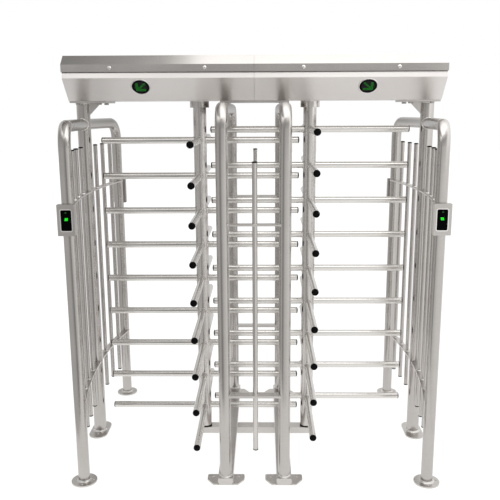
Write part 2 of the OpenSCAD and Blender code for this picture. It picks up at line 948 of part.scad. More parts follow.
module floor_cross_beam() {
    inner_len = 2 * centre_frame_x - sill_w;
    stub_from = centre_frame_x + sill_w / 2;
    stub_to = beam_end_x - end_plate_t;
    color("#b9b6b1") {
        rotate([0, 0, 90])
            box_tube(beam_w, sill_h, inner_len);
        both_sides()
            translate([(stub_from + stub_to) / 2, 0, 0])
                rotate([0, 0, 90])
                    box_tube(beam_w, sill_h, stub_to - stub_from);
    }
}

module floor_end_plates() {
    color("#aeaba6")
        both_sides() {
            front_and_rear()
                translate([centre_frame_x, sill_end_y - end_plate_t / 2, 0])
                    block_on_plane([sill_w, end_plate_t, sill_h]);
            translate([beam_end_x - end_plate_t / 2, 0, 0])
                block_on_plane([end_plate_t, beam_w, sill_h]);
        }
}

module base_plate_outline() {
    half_w = base_plate_w / 2;
    front_half = base_plate_front_w / 2;
    r = base_plate_corner_r;
    polygon([
        [-half_w, r],
        [half_w, r],
        [half_w, base_plate_len - base_plate_chamfer],
        [front_half, base_plate_len],
        [-front_half, base_plate_len],
        [-half_w, base_plate_len - base_plate_chamfer]
    ]);
    translate([r - half_w, 0])
        square([base_plate_w - 2 * r, r]);
    for (x = [r - half_w, half_w - r])
        translate([x, r])
            circle(r = r);
}

module centre_base_plates() {
    hole_x = base_plate_w / 2 - base_hole_side_edge;
    hole_y = sill_end_y - base_plate_len + base_hole_rear_edge;
    color("#aeaba6")
        both_sides()
            front_and_rear()
                difference() {
                    translate([centre_frame_x, sill_end_y - base_plate_len, 0])
                        linear_extrude(height = floor_plate_t)
                            base_plate_outline();
                    translate([centre_frame_x, sill_end_y, -cut])
                        block_on_plane([sill_w, 3 * base_plate_len, sill_h]);
                    for (x = [-hole_x, hole_x])
                        translate([centre_frame_x + x, hole_y, -cut])
                            cylinder(h = floor_plate_t + 2 * cut, d = anchor_hole_d);
                }
}

// Canopy: two folded troughs that hold the works, each under a screwed lid.

// Moves a corner of a folded profile in by one sheet, between folds that run at two angles.
function inset(corner, before, after) =
    corner + sheet_t / cos((after - before) / 2)
        * [-sin((after + before) / 2), cos((after + before) / 2)];

// Closes the right half of a profile with its own mirror image.
module folded_profile(half) {
    polygon(concat(half, [for (i = [len(half) - 1:-1:0]) [-half[i].x, half[i].y]]));
}

module trough_outline() {
    folded_profile([floor_corner, knee_corner, lip_corner, [lip_corner.x, trough_top_z]]);
}

// The same outline one sheet further in, and open at the top.
module trough_hollow_outline() {
    folded_profile([
        inset(floor_corner, 0, slope_angle),
        inset(knee_corner, slope_angle, lip_angle),
        inset(lip_corner, lip_angle, 90),
        [lip_corner.x - sheet_t, trough_top_z + cut]
    ]);
}

// Lays its children on the front slope, with +Z out of the sheet and +Y up the slope.
module at_indicators() {
    front_and_rear()
        translate([indicator_x, -indicator_y, indicator_z])
            rotate([180 - slope_angle, 0, 0])
                children();
}

module at_lid_screws() {
    front_and_rear()
        for (x = [inner_screw_x, outer_screw_x])
            translate([x, lid_w / 2, lid_screw_z])
                rotate([-90, 0, 0])
                    children();
}

module lid_screw_holes() {
    at_lid_screws()
        translate([0, 0, -lid_screw_len])
            cylinder(h = 2 * lid_screw_len, d = lid_screw_d + 2 * notch_gap);
}

module canopy_trough() {
    difference() {
        along_x(canopy_seam, canopy_end_x)
            trough_outline();
        along_x(canopy_seam + sheet_t, canopy_end_x - sheet_t)
            trough_hollow_outline();
        translate([rotor_axis_x, 0, canopy_z - cut])
            cylinder(h = sheet_t + 2 * cut, d = shaft_hole_d);
        at_canopy_bolts()
            translate([0, 0, canopy_z - cut])
                cylinder(h = sheet_t + 2 * cut, d = bolt_hole_d);
        at_indicators()
            translate([0, 0, -sheet_t - cut])
                cylinder(h = sheet_t + 2 * cut, r = barrel_r + indicator_gap);
        lid_screw_holes();
    }
}

module left_canopy_trough() {
    color("#c6c4c0")
        to_left()
            canopy_trough();
}

module right_canopy_trough() {
    color("#c6c4c0")
        canopy_trough();
}

module lid_outline() {
    folded_profile([[fold_corner.x, lid_foot_z], fold_corner, flat_corner]);
}

module lid_hollow_outline() {
    folded_profile([
        [fold_corner.x - sheet_t, lid_foot_z - cut],
        inset(fold_corner, 90, bevel_angle),
        inset(flat_corner, bevel_angle, 180)
    ]);
}

module canopy_lid() {
    difference() {
        along_x(canopy_seam, lid_end_x)
            lid_outline();
        along_x(canopy_seam - cut, lid_end_x - sheet_t)
            lid_hollow_outline();
        lid_screw_holes();
    }
}

module left_canopy_lid() {
    color("#d2d0cc")
        to_left()
            canopy_lid();
}

module right_canopy_lid() {
    color("#d2d0cc")
        canopy_lid();
}

module lid_screws() {
    color("#9a9894")
        both_sides()
            at_lid_screws() {
                rotate_extrude()
                    dome_profile(lid_screw_head_d / 2, lid_screw_head_h);
                translate([0, 0, -lid_screw_len])
                    cylinder(h = lid_screw_len, d = lid_screw_d);
            }
}

module rotor_collars() {
    inner_d = rotor_post_d + 2 * collar_gap;
    color("#b9b6b1")
        both_sides()
            translate([rotor_axis_x, 0, canopy_z - collar_h])
                tube(collar_h, collar_d, (collar_d - inner_d) / 2);
}

// Indicators: a bezel with its barrel, a dark window and a lit arrow that points to the outside.

module bezel_profile() {
    window_r = window_d / 2 + indicator_gap / 2;
    ledge_z = bezel_h - window_recess - window_t;
    polygon([
        [window_d / 2 - window_ledge, -barrel_depth],
        [barrel_r, -barrel_depth],
        [barrel_r, 0],
        [bezel_d / 2, 0],
        [bezel_d / 2, bezel_h - bezel_chamfer],
        [bezel_d / 2 - bezel_chamfer, bezel_h],
        [window_r, bezel_h],
        [window_r, ledge_z],
        [window_d / 2 - window_ledge, ledge_z]
    ]);
}

module indicator_bezels() {
    color("#e4e3e0")
        both_sides()
            at_indicators()
                rotate_extrude()
                    bezel_profile();
}

module indicator_windows() {
    color("#0b0b0d")
        both_sides()
            at_indicators()
                translate([0, 0, bezel_h - window_recess - window_t])
                    cylinder(h = window_t, d = window_d);
}

// An arrow that points down and towards +X, with its two barbs along the edges.
module arrow_outline() {
    a = arrow_half;
    s = arrow_stroke;
    polygon([
        [a, a],
        [a - s, a],
        [a - s, 2 * s - a],
        [s - a, a],
        [-a, a - s],
        [a - 2 * s, s - a],
        [-a, s - a],
        [-a, -a],
        [a, -a]
    ]);
}

module indicator_arrows() {
    color("#2fae3d")
        both_sides()
            at_indicators()
                translate([0, 0, bezel_h - window_recess])
                    linear_extrude(height = arrow_t)
                        arrow_outline();
}

// Readers: a housing round each guard leg's outer face, with a dark window.

module at_readers() {
    front_and_rear()
        translate([guard_leg_x, -reader_face_y, reader_z + reader_h / 2])
            rotate([90, 0, 0])
                children();
}

module reader_window_solid(gap, depth) {
    rise = reader_window_rise + (reader_window_h - reader_h) / 2;
    translate([0, rise, -depth])
        linear_extrude(height = reader_window_t + depth)
            rounded_rectangle(
                reader_window_w + 2 * gap,
                reader_window_h + 2 * gap,
                reader_window_r + gap
            );
}

module reader_housings() {
    color("#c6c4c0")
        both_sides()
            difference() {
                at_readers()
                    difference() {
                        translate([0, 0, -reader_depth])
                            linear_extrude(height = reader_depth)
                                rounded_rectangle(reader_w, reader_h, reader_corner_r);
                        reader_window_solid(fixed_gap, reader_window_t - reader_window_proud);
                    }
                front_and_rear()
                    translate([guard_leg_x, leg_y, reader_z - cut])
                        cylinder(h = reader_h + 2 * cut, r = frame_tube_r + fixed_gap);
            }
}

module reader_windows() {
    color("#0b0b0d")
        both_sides()
            at_readers()
                translate([0, 0, reader_window_proud - reader_window_t])
                    reader_window_solid(0, 0);
}

// Rotors: a post with four wings of arms, turning on a pin below and in a bearing above.

module rotor_post() {
    translate([rotor_axis_x, 0, rotor_foot_z])
        tube(rotor_head_z - rotor_foot_z, rotor_post_d, rotor_post_wall);
}

module at_arms(lowest_z) {
    translate([rotor_axis_x, 0, lowest_z])
        for (wing = [0:wings - 1], row = [0:arm_rows - 1])
            translate([0, 0, row * arm_pitch])
                rotate([0, 0, wing * 360 / wings])
                    children();
}

module arm() {
    tube_end = arm_tip_r - plug_rim_t - plug_dome_h;
    difference() {
        rotate([0, 90, 0])
            tube(tube_end, arm_d, arm_wall);
        translate([0, 0, -arm_d])
            cylinder(h = 2 * arm_d, r = rotor_post_r + fixed_gap);
    }
}

module arm_plug() {
    translate([arm_tip_r - plug_rim_t - plug_dome_h, 0, 0])
        rotate([0, 90, 0]) {
            rotate_extrude() {
                square([arm_d / 2, plug_rim_t]);
                translate([0, plug_rim_t])
                    dome_profile(arm_d / 2, plug_dome_h);
                translate([0, -plug_spigot_h])
                    square([arm_d / 2 - arm_wall - fixed_gap, plug_spigot_h]);
            }
        }
}

module foot_bush() {
    outer_d = rotor_post_d - 2 * (rotor_post_wall + running_gap);
    translate([rotor_axis_x, 0, rotor_foot_z])
        tube(bush_h, outer_d, outer_d / 2 - pivot_d / 2 - running_gap);
}

module left_rotor_post() {
    color("#b9b6b1")
        to_left()
            rotor_post();
}

module right_rotor_post() {
    color("#b9b6b1")
        rotor_post();
}

module left_rotor_arms() {
    color("#b9b6b1")
        to_left()
            at_arms(left_arm_z)
                arm();
}

module right_rotor_arms() {
    color("#b9b6b1")
        at_arms(right_arm_z)
            arm();
}

module left_arm_plugs() {
    color("#1c1c1e")
        to_left()
            at_arms(left_arm_z)
                arm_plug();
}

module right_arm_plugs() {
    color("#1c1c1e")
        at_arms(right_arm_z)
            arm_plug();
}

module left_foot_bush() {
    color("#b08d4f")
        to_left()
            foot_bush();
}

module right_foot_bush() {
    color("#b08d4f")
        foot_bush();
}

module pivot_pedestals() {
    color("#8f8d89")
        both_sides()
            translate([rotor_axis_x, 0, sill_h]) {
                cylinder(h = pedestal_h, d = pedestal_d);
                cylinder(h = pedestal_h + thrust_h, d = thrust_d);
                cylinder(h = pedestal_h + thrust_h + pivot_h, d = pivot_d);
            }
}

module foot_seals() {
    color("#161618")
        both_sides()
            translate([rotor_axis_x, 0, sill_h])
                tube(pedestal_h, seal_d, (seal_d - pedestal_d) / 2 - seal_gap);
}

// Head mechanism, inside the canopy.

module head_shaft() {
    plug_d = rotor_post_d - 2 * (rotor_post_wall + running_gap);
    translate([rotor_axis_x, 0, 0]) {
        translate([0, 0, rotor_head_z - shaft_plug_h])
            cylinder(h = shaft_plug_h, d = plug_d);
        translate([0, 0, rotor_head_z])
            cylinder(h = head_shaft_top_z - rotor_head_z, d = head_shaft_d);
    }
}

module index_disc() {
    notch_d = lock_bolt_d + 2 * notch_gap;
    translate([rotor_axis_x, 0, 0])
        difference() {
            union() {
                translate([0, 0, index_disc_z])
                    cylinder(h = index_disc_t, d = index_disc_d, $fn = 96);
                translate([0, 0, index_disc_z - index_hub_h])
                    cylinder(h = index_hub_h, d = index_hub_d);
            }
            translate([0, 0, index_disc_z - index_hub_h - cut])
                cylinder(h = index_hub_h + index_disc_t + 2 * cut, d = head_shaft_d + 2 * running_gap);
            for (i = [0:wings - 1])
                rotate([0, 0, 90 + i * 360 / wings]) {
                    translate([lock_bolt_r, 0, index_disc_z - cut])
                        cylinder(h = index_disc_t + 2 * cut, d = notch_d);
                    translate([lock_bolt_r, -notch_d / 2, index_disc_z - cut])
                        cube([index_disc_d / 2, notch_d, index_disc_t + 2 * cut]);
                }
        }
}

module lock_bolt() {
    tip_z = index_disc_top_z + bolt_lift;
    translate([rotor_axis_x, lock_bolt_r, 0]) {
        translate([0, 0, tip_z])
            cylinder(h = lock_bolt_top_z - tip_z, d = lock_bolt_d);
        translate([0, 0, spring_z + spring_h])
            cylinder(h = bolt_shoulder_t, d = bolt_shoulder_d);
    }
}

module lock_spring() {
    translate([rotor_axis_x, lock_bolt_r, spring_z])
        tube(spring_h, spring_d, (spring_d - lock_bolt_d) / 2 - spring_gap);
}

module left_head_shaft() {
    color("#8f8d89")
        to_left()
            head_shaft();
}

module right_head_shaft() {
    color("#8f8d89")
        head_shaft();
}

module left_index_disc() {
    color("#a3a09a")
        to_left()
            index_disc();
}

module right_index_disc() {
    color("#a3a09a")
        index_disc();
}

module left_lock_bolt() {
    color("#8f8d89")
        to_left()
            lock_bolt();
}

module right_lock_bolt() {
    color("#8f8d89")
        lock_bolt();
}

module left_lock_spring() {
    color("#77756f")
        to_left()
            lock_spring();
}

module right_lock_spring() {
    color("#77756f")
        lock_spring();
}

module mechanism_plates() {
    color("#8f8d89")
        both_sides()
            translate([rotor_axis_x, 0, trough_floor_z])
                difference() {
                    block_on_plane([mech_plate_len, mech_plate_w, mech_plate_t]);
                    translate([0, 0, -cut])
                        cylinder(h = mech_plate_t + 2 * cut, d = shaft_hole_d);
                }
}

module bearing_housings() {
    color("#77756f")
        both_sides()
            translate([rotor_axis_x, 0, mech_top_z])
                difference() {
                    cylinder(h = bearing_housing_h, d = bearing_housing_d);
                    translate([0, 0, -cut])
                        cylinder(h = bearing_housing_h, d = bearing_ledge_d);
                    translate([0, 0, bearing_ledge_t])
                        cylinder(h = bearing_housing_h, d = bearing_d + 2 * running_gap);
                }
}

module upper_bearings() {
    inner_d = head_shaft_d + 2 * running_gap;
    color("#a3a09a")
        both_sides()
            translate([rotor_axis_x, 0, bearing_z])
                tube(bearing_h, bearing_d, (bearing_d - inner_d) / 2);
}

module bridge_outline() {
    y = bridge_upright_y;
    translate([y, mech_top_z])
        square([bridge_t, shelf_z + bridge_t - mech_top_z]);
    translate([y - bridge_foot_reach, mech_top_z])
        square([bridge_foot_reach + bridge_t, bridge_t]);
    for (z = [guide_plate_z, shelf_z])
        translate([y - bridge_reach, z])
            square([bridge_reach + bridge_t, bridge_t]);
}

module lock_bridges() {
    color("#8f8d89")
        both_sides()
            difference() {
                along_x(rotor_axis_x - bridge_w / 2, rotor_axis_x + bridge_w / 2)
                    bridge_outline();
                translate([rotor_axis_x, lock_bolt_r, guide_plate_z - cut])
                    cylinder(h = bridge_t + 2 * cut, d = lock_bolt_d + 2 * running_gap);
                translate([rotor_axis_x, lock_bolt_r, shelf_z - cut])
                    cylinder(h = bridge_t + 2 * cut, d = lock_bolt_d + 2 * solenoid_gap);
            }
}

module lock_solenoids() {
    color("#3a3a3d")
        both_sides()
            translate([rotor_axis_x, lock_bolt_r, solenoid_z])
                difference() {
                    cylinder(h = solenoid_h, d = solenoid_d);
                    translate([0, 0, -cut])
                        cylinder(h = solenoid_bore_h + cut, d = lock_bolt_d + 2 * solenoid_gap);
                }
}

module control_boards() {
    post_x = board_len / 2 - standoff_inset;
    post_y = board_w / 2 - standoff_inset;
    color("#1f6b3a")
        both_sides()
            translate([board_x, 0, trough_floor_z]) {
                translate([0, 0, standoff_h])
                    block_on_plane([board_len, board_w, board_t]);
                for (x = [-post_x, post_x], y = [-post_y, post_y])
                    translate([x, y, 0])
                        cylinder(h = standoff_h, d = standoff_d);
            }
}

module power_supplies() {
    color("#b4b2ad")
        both_sides()
            translate([supply_x, 0, trough_floor_z])
                block_on_plane([supply_len, supply_w, supply_h]);
}

left_guard_tube();
right_guard_tube();
left_guard_bars();
right_guard_bars();
bar_end_caps();
left_guard_flats();
right_guard_flats();
guard_floor_flanges();
left_main_post();
right_main_post();
post_gussets();
post_floor_plates();
post_head_plates();
canopy_bolts();
canopy_nuts();
left_centre_frame();
right_centre_frame();
centre_cross_flats();
centre_bars();
floor_sills();
floor_cross_beam();
floor_end_plates();
centre_base_plates();
centre_tie_plate();
left_canopy_trough();
right_canopy_trough();
left_canopy_lid();
right_canopy_lid();
lid_screws();
indicator_bezels();
indicator_windows();
indicator_arrows();
reader_housings();
reader_windows();
rotor_collars();
left_rotor_post();
right_rotor_post();
left_rotor_arms();
right_rotor_arms();
left_arm_plugs();
right_arm_plugs();
left_foot_bush();
right_foot_bush();
pivot_pedestals();
foot_seals();
left_head_shaft();
right_head_shaft();
left_index_disc();
right_index_disc();
bearing_housings();
upper_bearings();
mechanism_plates();
lock_bridges();
left_lock_bolt();
right_lock_bolt();
left_lock_spring();
right_lock_spring();
lock_solenoids();
control_boards();
power_supplies();
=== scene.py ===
# Full height turnstile with two rotors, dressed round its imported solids. Metres, floor at Z 0, front at -Y.
from math import asin, atan, copysign, cos, hypot, pi, radians, sin, sqrt

import bmesh
import bpy
from mathutils import Matrix, Vector


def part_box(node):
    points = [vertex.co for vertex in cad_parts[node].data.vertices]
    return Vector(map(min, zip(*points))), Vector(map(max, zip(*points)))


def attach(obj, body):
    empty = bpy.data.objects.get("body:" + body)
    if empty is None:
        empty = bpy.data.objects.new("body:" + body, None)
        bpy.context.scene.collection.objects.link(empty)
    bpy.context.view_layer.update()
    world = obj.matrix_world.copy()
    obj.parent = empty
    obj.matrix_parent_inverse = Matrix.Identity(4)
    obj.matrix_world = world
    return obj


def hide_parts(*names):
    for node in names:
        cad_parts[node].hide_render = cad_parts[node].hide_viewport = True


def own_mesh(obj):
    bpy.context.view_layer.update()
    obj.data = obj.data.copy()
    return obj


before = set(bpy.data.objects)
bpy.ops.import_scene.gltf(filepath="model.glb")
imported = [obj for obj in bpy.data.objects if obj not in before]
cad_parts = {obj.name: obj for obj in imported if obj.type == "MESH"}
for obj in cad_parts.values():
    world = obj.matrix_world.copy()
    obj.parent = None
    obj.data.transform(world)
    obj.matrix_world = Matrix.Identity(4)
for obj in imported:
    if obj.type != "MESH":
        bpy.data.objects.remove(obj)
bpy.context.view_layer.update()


# Floor frame: two sills of box tube, a beam across them, closing plates and bolted wings. Sawn and
# laser cut from 304 stainless, welded all round, pickled and lightly brushed.

def linear(code):
    """The linear colour that an sRGB hex value stands for."""
    parts = [int(code[i:i + 2], 16) / 255 for i in (1, 3, 5)]
    return [part / 12.92 if part <= 0.04045 else ((part + 0.055) / 1.055) ** 2.4 for part in parts] + [1]


def add(tree, kind, settings=(), links=()):
    """One shader node with its settings, by socket or by property, and what feeds its sockets."""
    made = tree.nodes.new("ShaderNode" + kind)
    for key, value in dict(settings).items():
        if isinstance(key, int) or key in made.inputs:
            made.inputs[key].default_value = value
        else:
            setattr(made, key, value)
    for key, source in dict(links).items():
        tree.links.new(source, made.inputs[key])
    return made


def finish(name, **sockets):
    """A material with its shader set, and the shader and its node tree to add grain to."""
    made = bpy.data.materials.new(name)
    made.use_nodes = True
    shader = made.node_tree.nodes["Principled BSDF"]
    for key, value in sockets.items():
        shader.inputs[key.replace("_", " ")].default_value = value
    return made, shader, made.node_tree


def grained(name, shades, grain, relief, rough=None, strength=0.3, **sockets):
    """A finish whose colour and relief follow one noise, with grains of a size in metres along each
    axis. Where rough gives a lowest and a highest roughness, faint clouds join in and set it."""
    made, shader, tree = finish(name, **sockets)
    place = add(tree, "TexCoord").outputs["Object"]
    stretched = add(tree, "Mapping", {"Scale": [1 / length for length in grain]}, {"Vector": place})
    marks = add(tree, "TexNoise", {"Scale": 1.0, "Detail": 3.0}, {"Vector": stretched.outputs[0]}).outputs[0]
    mixed = marks
    if rough:
        clouds = add(tree, "TexNoise", {"Scale": 9.0, "Detail": 2.0}, {"Vector": place})
        mixed = add(tree, "Mix", {"Factor": 0.6}, {2: marks, 3: clouds.outputs[0]}).outputs[0]
    share = add(tree, "MapRange", {"From Min": 0.3, "From Max": 0.7}, {"Value": mixed}).outputs[0]
    if rough:
        spread = add(tree, "Mix", {2: rough[0], 3: rough[1]}, {0: share})
        tree.links.new(spread.outputs[0], shader.inputs["Roughness"])
    colour = add(tree, "Mix", {"data_type": "RGBA", 6: linear(shades[0]), 7: linear(shades[1])}, {0: share})
    tree.links.new(colour.outputs[2], shader.inputs["Base Color"])
    bumps = add(tree, "Bump", {"Strength": strength, "Distance": relief}, {"Height": marks})
    tree.links.new(bumps.outputs[0], shader.inputs["Normal"])
    return made


def polished_steel(name, shades, rough, grain):
    """Stainless steel with polishing marks 4 microns deep, so many metres long along each axis."""
    return grained(name, shades, grain, relief=0.000004, rough=rough, strength=0.2, Metallic=1.0)


def dress(material, *nodes):
    """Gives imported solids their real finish."""
    for node in nodes:
        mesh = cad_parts[node].data
        mesh.materials.clear()
        mesh.materials.append(material)


def put(name, data):
    """An object in the scene for a mesh, a lamp or the camera."""
    made = bpy.data.objects.new(name, data)
    bpy.context.scene.collection.objects.link(made)
    return made


def piece(name, forms, body, material, edge=40):
    """One piece from several forms, each its corners and faces, smooth but for edges past an angle."""
    shape = bmesh.new()
    for corners, faces in forms:
        made = [shape.verts.new(corner) for corner in corners]
        for face in faces:
            shape.faces.new([made[i] for i in face])
    bmesh.ops.remove_doubles(shape, verts=shape.verts, dist=0.000005)
    bmesh.ops.recalc_face_normals(shape, faces=shape.faces)
    mesh = bpy.data.meshes.new(name)
    shape.to_mesh(mesh)
    shape.free()
    mesh.polygons.foreach_set("use_smooth", [True] * len(mesh.polygons))
    mesh.set_sharp_from_angle(angle=radians(edge))
    mesh.materials.append(material)
    made = put(name, mesh)
    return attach(made, body)


def skin(rows, looped=False):
    """The corners and faces of a skin over rows of points, each row a closed outline."""
    count, around = len(rows), len(rows[0])
    faces = []
    for i in range(count if looped else count - 1):
        here, there = i * around, (i + 1) % count * around
        for j in range(around):
            k = (j + 1) % around
            faces.append((here + j, there + j, there + k, here + k))
    return [corner for row in rows for corner in row], faces


def swept(path, axis, section, closed=True):
    """A section, with points out from the path and along the axis, carried along the path."""
    rows = []
    for i, place in enumerate(path):
        before = path[i - 1] if closed or i else place
        after = path[(i + 1) % len(path)] if closed or i + 1 < len(path) else place
        out = (after - before).cross(axis).normalized()
        rows.append([place + out * away + axis * along for away, along in section])
    corners, faces = skin(rows, closed)
    if not closed:
        first, last = range(len(section)), range(len(corners) - len(section), len(corners))
        faces += [tuple(first), tuple(last)]
    return corners, faces


def full_turn(steps):
    """Angles at even steps round a circle."""
    return [2 * pi * i / steps for i in range(steps)]


def bead(radius, facets=8):
    """The round section of a weld that was left as it was laid."""
    return [(radius * cos(turn), radius * sin(turn)) for turn in full_turn(facets)]


# Mill marks 1 mm apart, drawn 4 mm apart: they break up the reflections a little.
cut_plate = polished_steel("brushed_stainless_plate", ("#c2beba", "#ccc8c4"), (0.26, 0.34),
                           (0.05, 0.004, 0.02))
dress(cut_plate, "floor_sills", "floor_cross_beam", "floor_end_plates", "centre_base_plates")

# Ripples of the laid weld, 1.5 mm, drawn at 3 mm: the welds glint more than the tube beside them.
weld_metal = grained("brushed_tig_weld", ("#cfccc8", "#e2e0dd"), (0.003, 0.003, 0.003), 0.0002,
                     Metallic=1.0, Roughness=0.3)

up, right = Vector((0, 0, 1)), Vector((1, 0, 0))
sides = (-1, 1)
# Each sill lies under a centre frame, with the beam across its middle and a wing at each end.
leg_low, leg_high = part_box("right_centre_frame")
frame_x = (leg_low.x + leg_high.x) / 2
sill_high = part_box("floor_sills")[1]
beam_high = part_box("floor_cross_beam")[1]
wing_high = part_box("centre_base_plates")[1]
wing_from, seam_lap = 0.548, 0.002
beam_seam, wing_seam = bead(0.003), bead(0.0035)
seams = []
for x in sides:
    for edge in sides:
        side_x = x * frame_x + edge * (sill_high.x - frame_x)
        over_beam = [Vector((side_x, y * beam_high.y, z)) for y, z in (
            (-1, seam_lap), (-1, beam_high.z), (1, beam_high.z), (1, seam_lap))]
        seams.append(swept(over_beam, right, beam_seam, closed=False))
        for y in sides:
            along_wing = [Vector((side_x, y * end, wing_high.z)) for end in (wing_from, wing_high.y)]
            seams.append(swept(along_wing, up, wing_seam, closed=False))
piece("floor_frame_welds", seams, "frame", weld_metal)


# Centre frames: 63 mm tube bent cold over each side of the rotors, with two flats and a bar between
# them at front and rear. Belt polished round the girth to a satin, then welded to the sills.

def ring(centre, axis, radius, steps=48):
    """Points on a circle that runs anticlockwise round an axis."""
    first = axis.orthogonal().normalized()
    second = axis.cross(first)
    return [Vector(centre) + first * radius * cos(turn) + second * radius * sin(turn)
            for turn in full_turn(steps)]


def fillet(leg, steps=6):
    """The hollow section of a weld that was ground and polished, as wide as it is high."""
    root = 0.0004
    turns = [pi / 2 * i / steps for i in range(steps + 1)]
    hollow = [(leg - leg * sin(turn), leg - leg * cos(turn)) for turn in turns]
    return [(-root, -root), (leg, -root)] + hollow + [(-root, leg)]


def flat_faces(flats):
    """The height and direction of the upper and lower face of each flat, by its top and thickness."""
    return [face for top, thick in flats for face in ((top, up), (top - thick, down))]


def bar_rings(foot, radius, faces, section):
    """Rings of weld where a bar passes through the faces of flats."""
    return [swept(ring(foot + up * z, axis, radius, steps=24), axis, section) for z, axis in faces]


# The marks run round the girth, 0.1 mm apart, and are drawn 4 mm apart so that they show.
bent_tube = polished_steel("satin_polished_bent_tube", ("#b3afab", "#bab6b2"), (0.18, 0.23),
                           (0.06, 0.006, 0.004))
straight_tube = polished_steel("satin_polished_stainless_tube", ("#b3afab", "#bab6b2"), (0.17, 0.21),
                               (0.06, 0.06, 0.004))
# A finer belt leaves the same marks paler.
fine_tube = polished_steel("fine_polished_stainless_tube", ("#c4c0bc", "#cac6c2"), (0.17, 0.21),
                           (0.06, 0.06, 0.004))
dress(bent_tube, "left_centre_frame", "right_centre_frame")
dress(fine_tube, "centre_bars")
dress(cut_plate, "centre_cross_flats", "centre_tie_plate")

down = -up
tube_r = (leg_high.x - leg_low.x) / 2
leg_y = leg_high.y - tube_r
centre_bar_r = 0.01345
bar_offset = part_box("centre_bars")[1].x - centre_bar_r
centre_bars = [Vector((-y * bar_offset, y * leg_y, 0)) for y in sides]
low_flat_top, low_flat_t, high_flat_top, high_flat_t = 0.513, 0.013, 1.438, 0.008
cross_faces = flat_faces([(low_flat_top, low_flat_t), (high_flat_top, high_flat_t)])
tie_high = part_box("centre_tie_plate")[1]
leg_weld, flat_seam, tie_seam_out = fillet(0.008), bead(0.0035), 0.013
# A flat meets the tube over a quarter of its girth, and is welded there.
girth = [pi * i / 12 for i in range(3, 10)]
seams = []
for y, foot in zip(sides, centre_bars):
    seams += bar_rings(foot, centre_bar_r, cross_faces, flat_seam)
    for x in sides:
        seams.append(swept(ring((x * frame_x, y * leg_y, leg_low.z), up, tube_r), up, leg_weld))
        for z, axis in cross_faces:
            arc = [Vector((x * (frame_x - tube_r * sin(turn)), y * leg_y - x * tube_r * cos(turn), z))
                   for turn in girth]
            seams.append(swept(arc, axis, flat_seam, closed=False))
for x in sides:
    for edge in sides:
        beside_crown = leg_high.z - tube_r + sqrt(tube_r ** 2 - tie_seam_out ** 2)
        along_tie = [Vector((x * frame_x + edge * tie_seam_out, y * tie_high.y, beside_crown)) for y in sides]
        seams.append(swept(along_tie, up, flat_seam, closed=False))
piece("centre_frame_welds", seams, "frame", weld_metal)


# Main posts: 76 mm tube with a floor plate, a head plate that the canopy is bolted to, and a gusset.
# Polished like the other tubes, with the welds at foot and head ground to a smooth hollow.

dress(straight_tube, "left_main_post", "right_main_post")
dress(cut_plate, "post_floor_plates", "post_head_plates", "post_gussets")

# Turning marks 0.2 mm apart, drawn 2 mm apart, round bolts and nuts of bright A2 stainless.
turned_steel = polished_steel("turned_stainless_fastener", ("#aeaba7", "#bcb9b5"), (0.22, 0.3),
                              (0.01, 0.01, 0.002))
dress(turned_steel, "canopy_bolts", "canopy_nuts")

back = Vector((0, 1, 0))
post_low, post_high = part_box("right_main_post")
post_x, post_r = (post_low.x + post_high.x) / 2, (post_high.x - post_low.x) / 2
gusset_low, gusset_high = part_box("post_gussets")
gusset_leg = gusset_high.z - gusset_low.z
foot_weld, head_weld, gusset_seam = fillet(0.010), fillet(0.006), bead(0.003)
seams = []
for x in sides:
    seams.append(swept(ring((x * post_x, 0, post_low.z), up, post_r), up, foot_weld))
    seams.append(swept(ring((x * post_x, 0, post_high.z), down, post_r), down, head_weld))
    inner = x * (post_x - post_r)
    for y in sides:
        two_legs = [Vector((inner - x * away, y * gusset_high.y, gusset_high.z - below))
                    for away, below in ((0, gusset_leg), (0, 0), (gusset_leg, 0))]
        seams.append(swept(two_legs, back, gusset_seam, closed=False))
piece("main_post_welds", seams, "frame", weld_metal)


# Side guards: 63 mm tube bent cold into two legs and a rail that bows outwards round the main post,
# with six 25 mm bars held by two curved flats. The joints of rail, post and legs are welded.

dress(bent_tube, "left_guard_tube", "right_guard_tube")
dress(straight_tube, "left_guard_bars", "right_guard_bars")
dress(cut_plate, "left_guard_flats", "right_guard_flats", "guard_floor_flanges")

guard_low, guard_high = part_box("right_guard_tube")
rail_z = guard_high.z - tube_r
plan_r, bend_r = 3.400, 0.100
rail_angle = asin(leg_y / hypot(plan_r, bend_r)) - atan(bend_r / plan_r)
bow_x = post_x - plan_r
leg_x = bow_x + plan_r * cos(rail_angle) - bend_r * sin(rail_angle)

flat_low, flat_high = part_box("right_guard_flats")
flat_t = 0.008
guard_faces = flat_faces([(flat_low.z + flat_t, flat_t), (flat_high.z, flat_t)])
guard_bar_r, bars_inwards = 0.0125, 0.013
first_row, row_pitch = 0.1686, 0.1386
guard_bars = []
for row in (first_row, first_row + row_pitch, first_row + 2 * row_pitch):
    bar_x = bow_x + sqrt((plan_r - bars_inwards) ** 2 - row ** 2)
    guard_bars += [Vector((x * bar_x, y * row, 0)) for x in sides for y in sides]

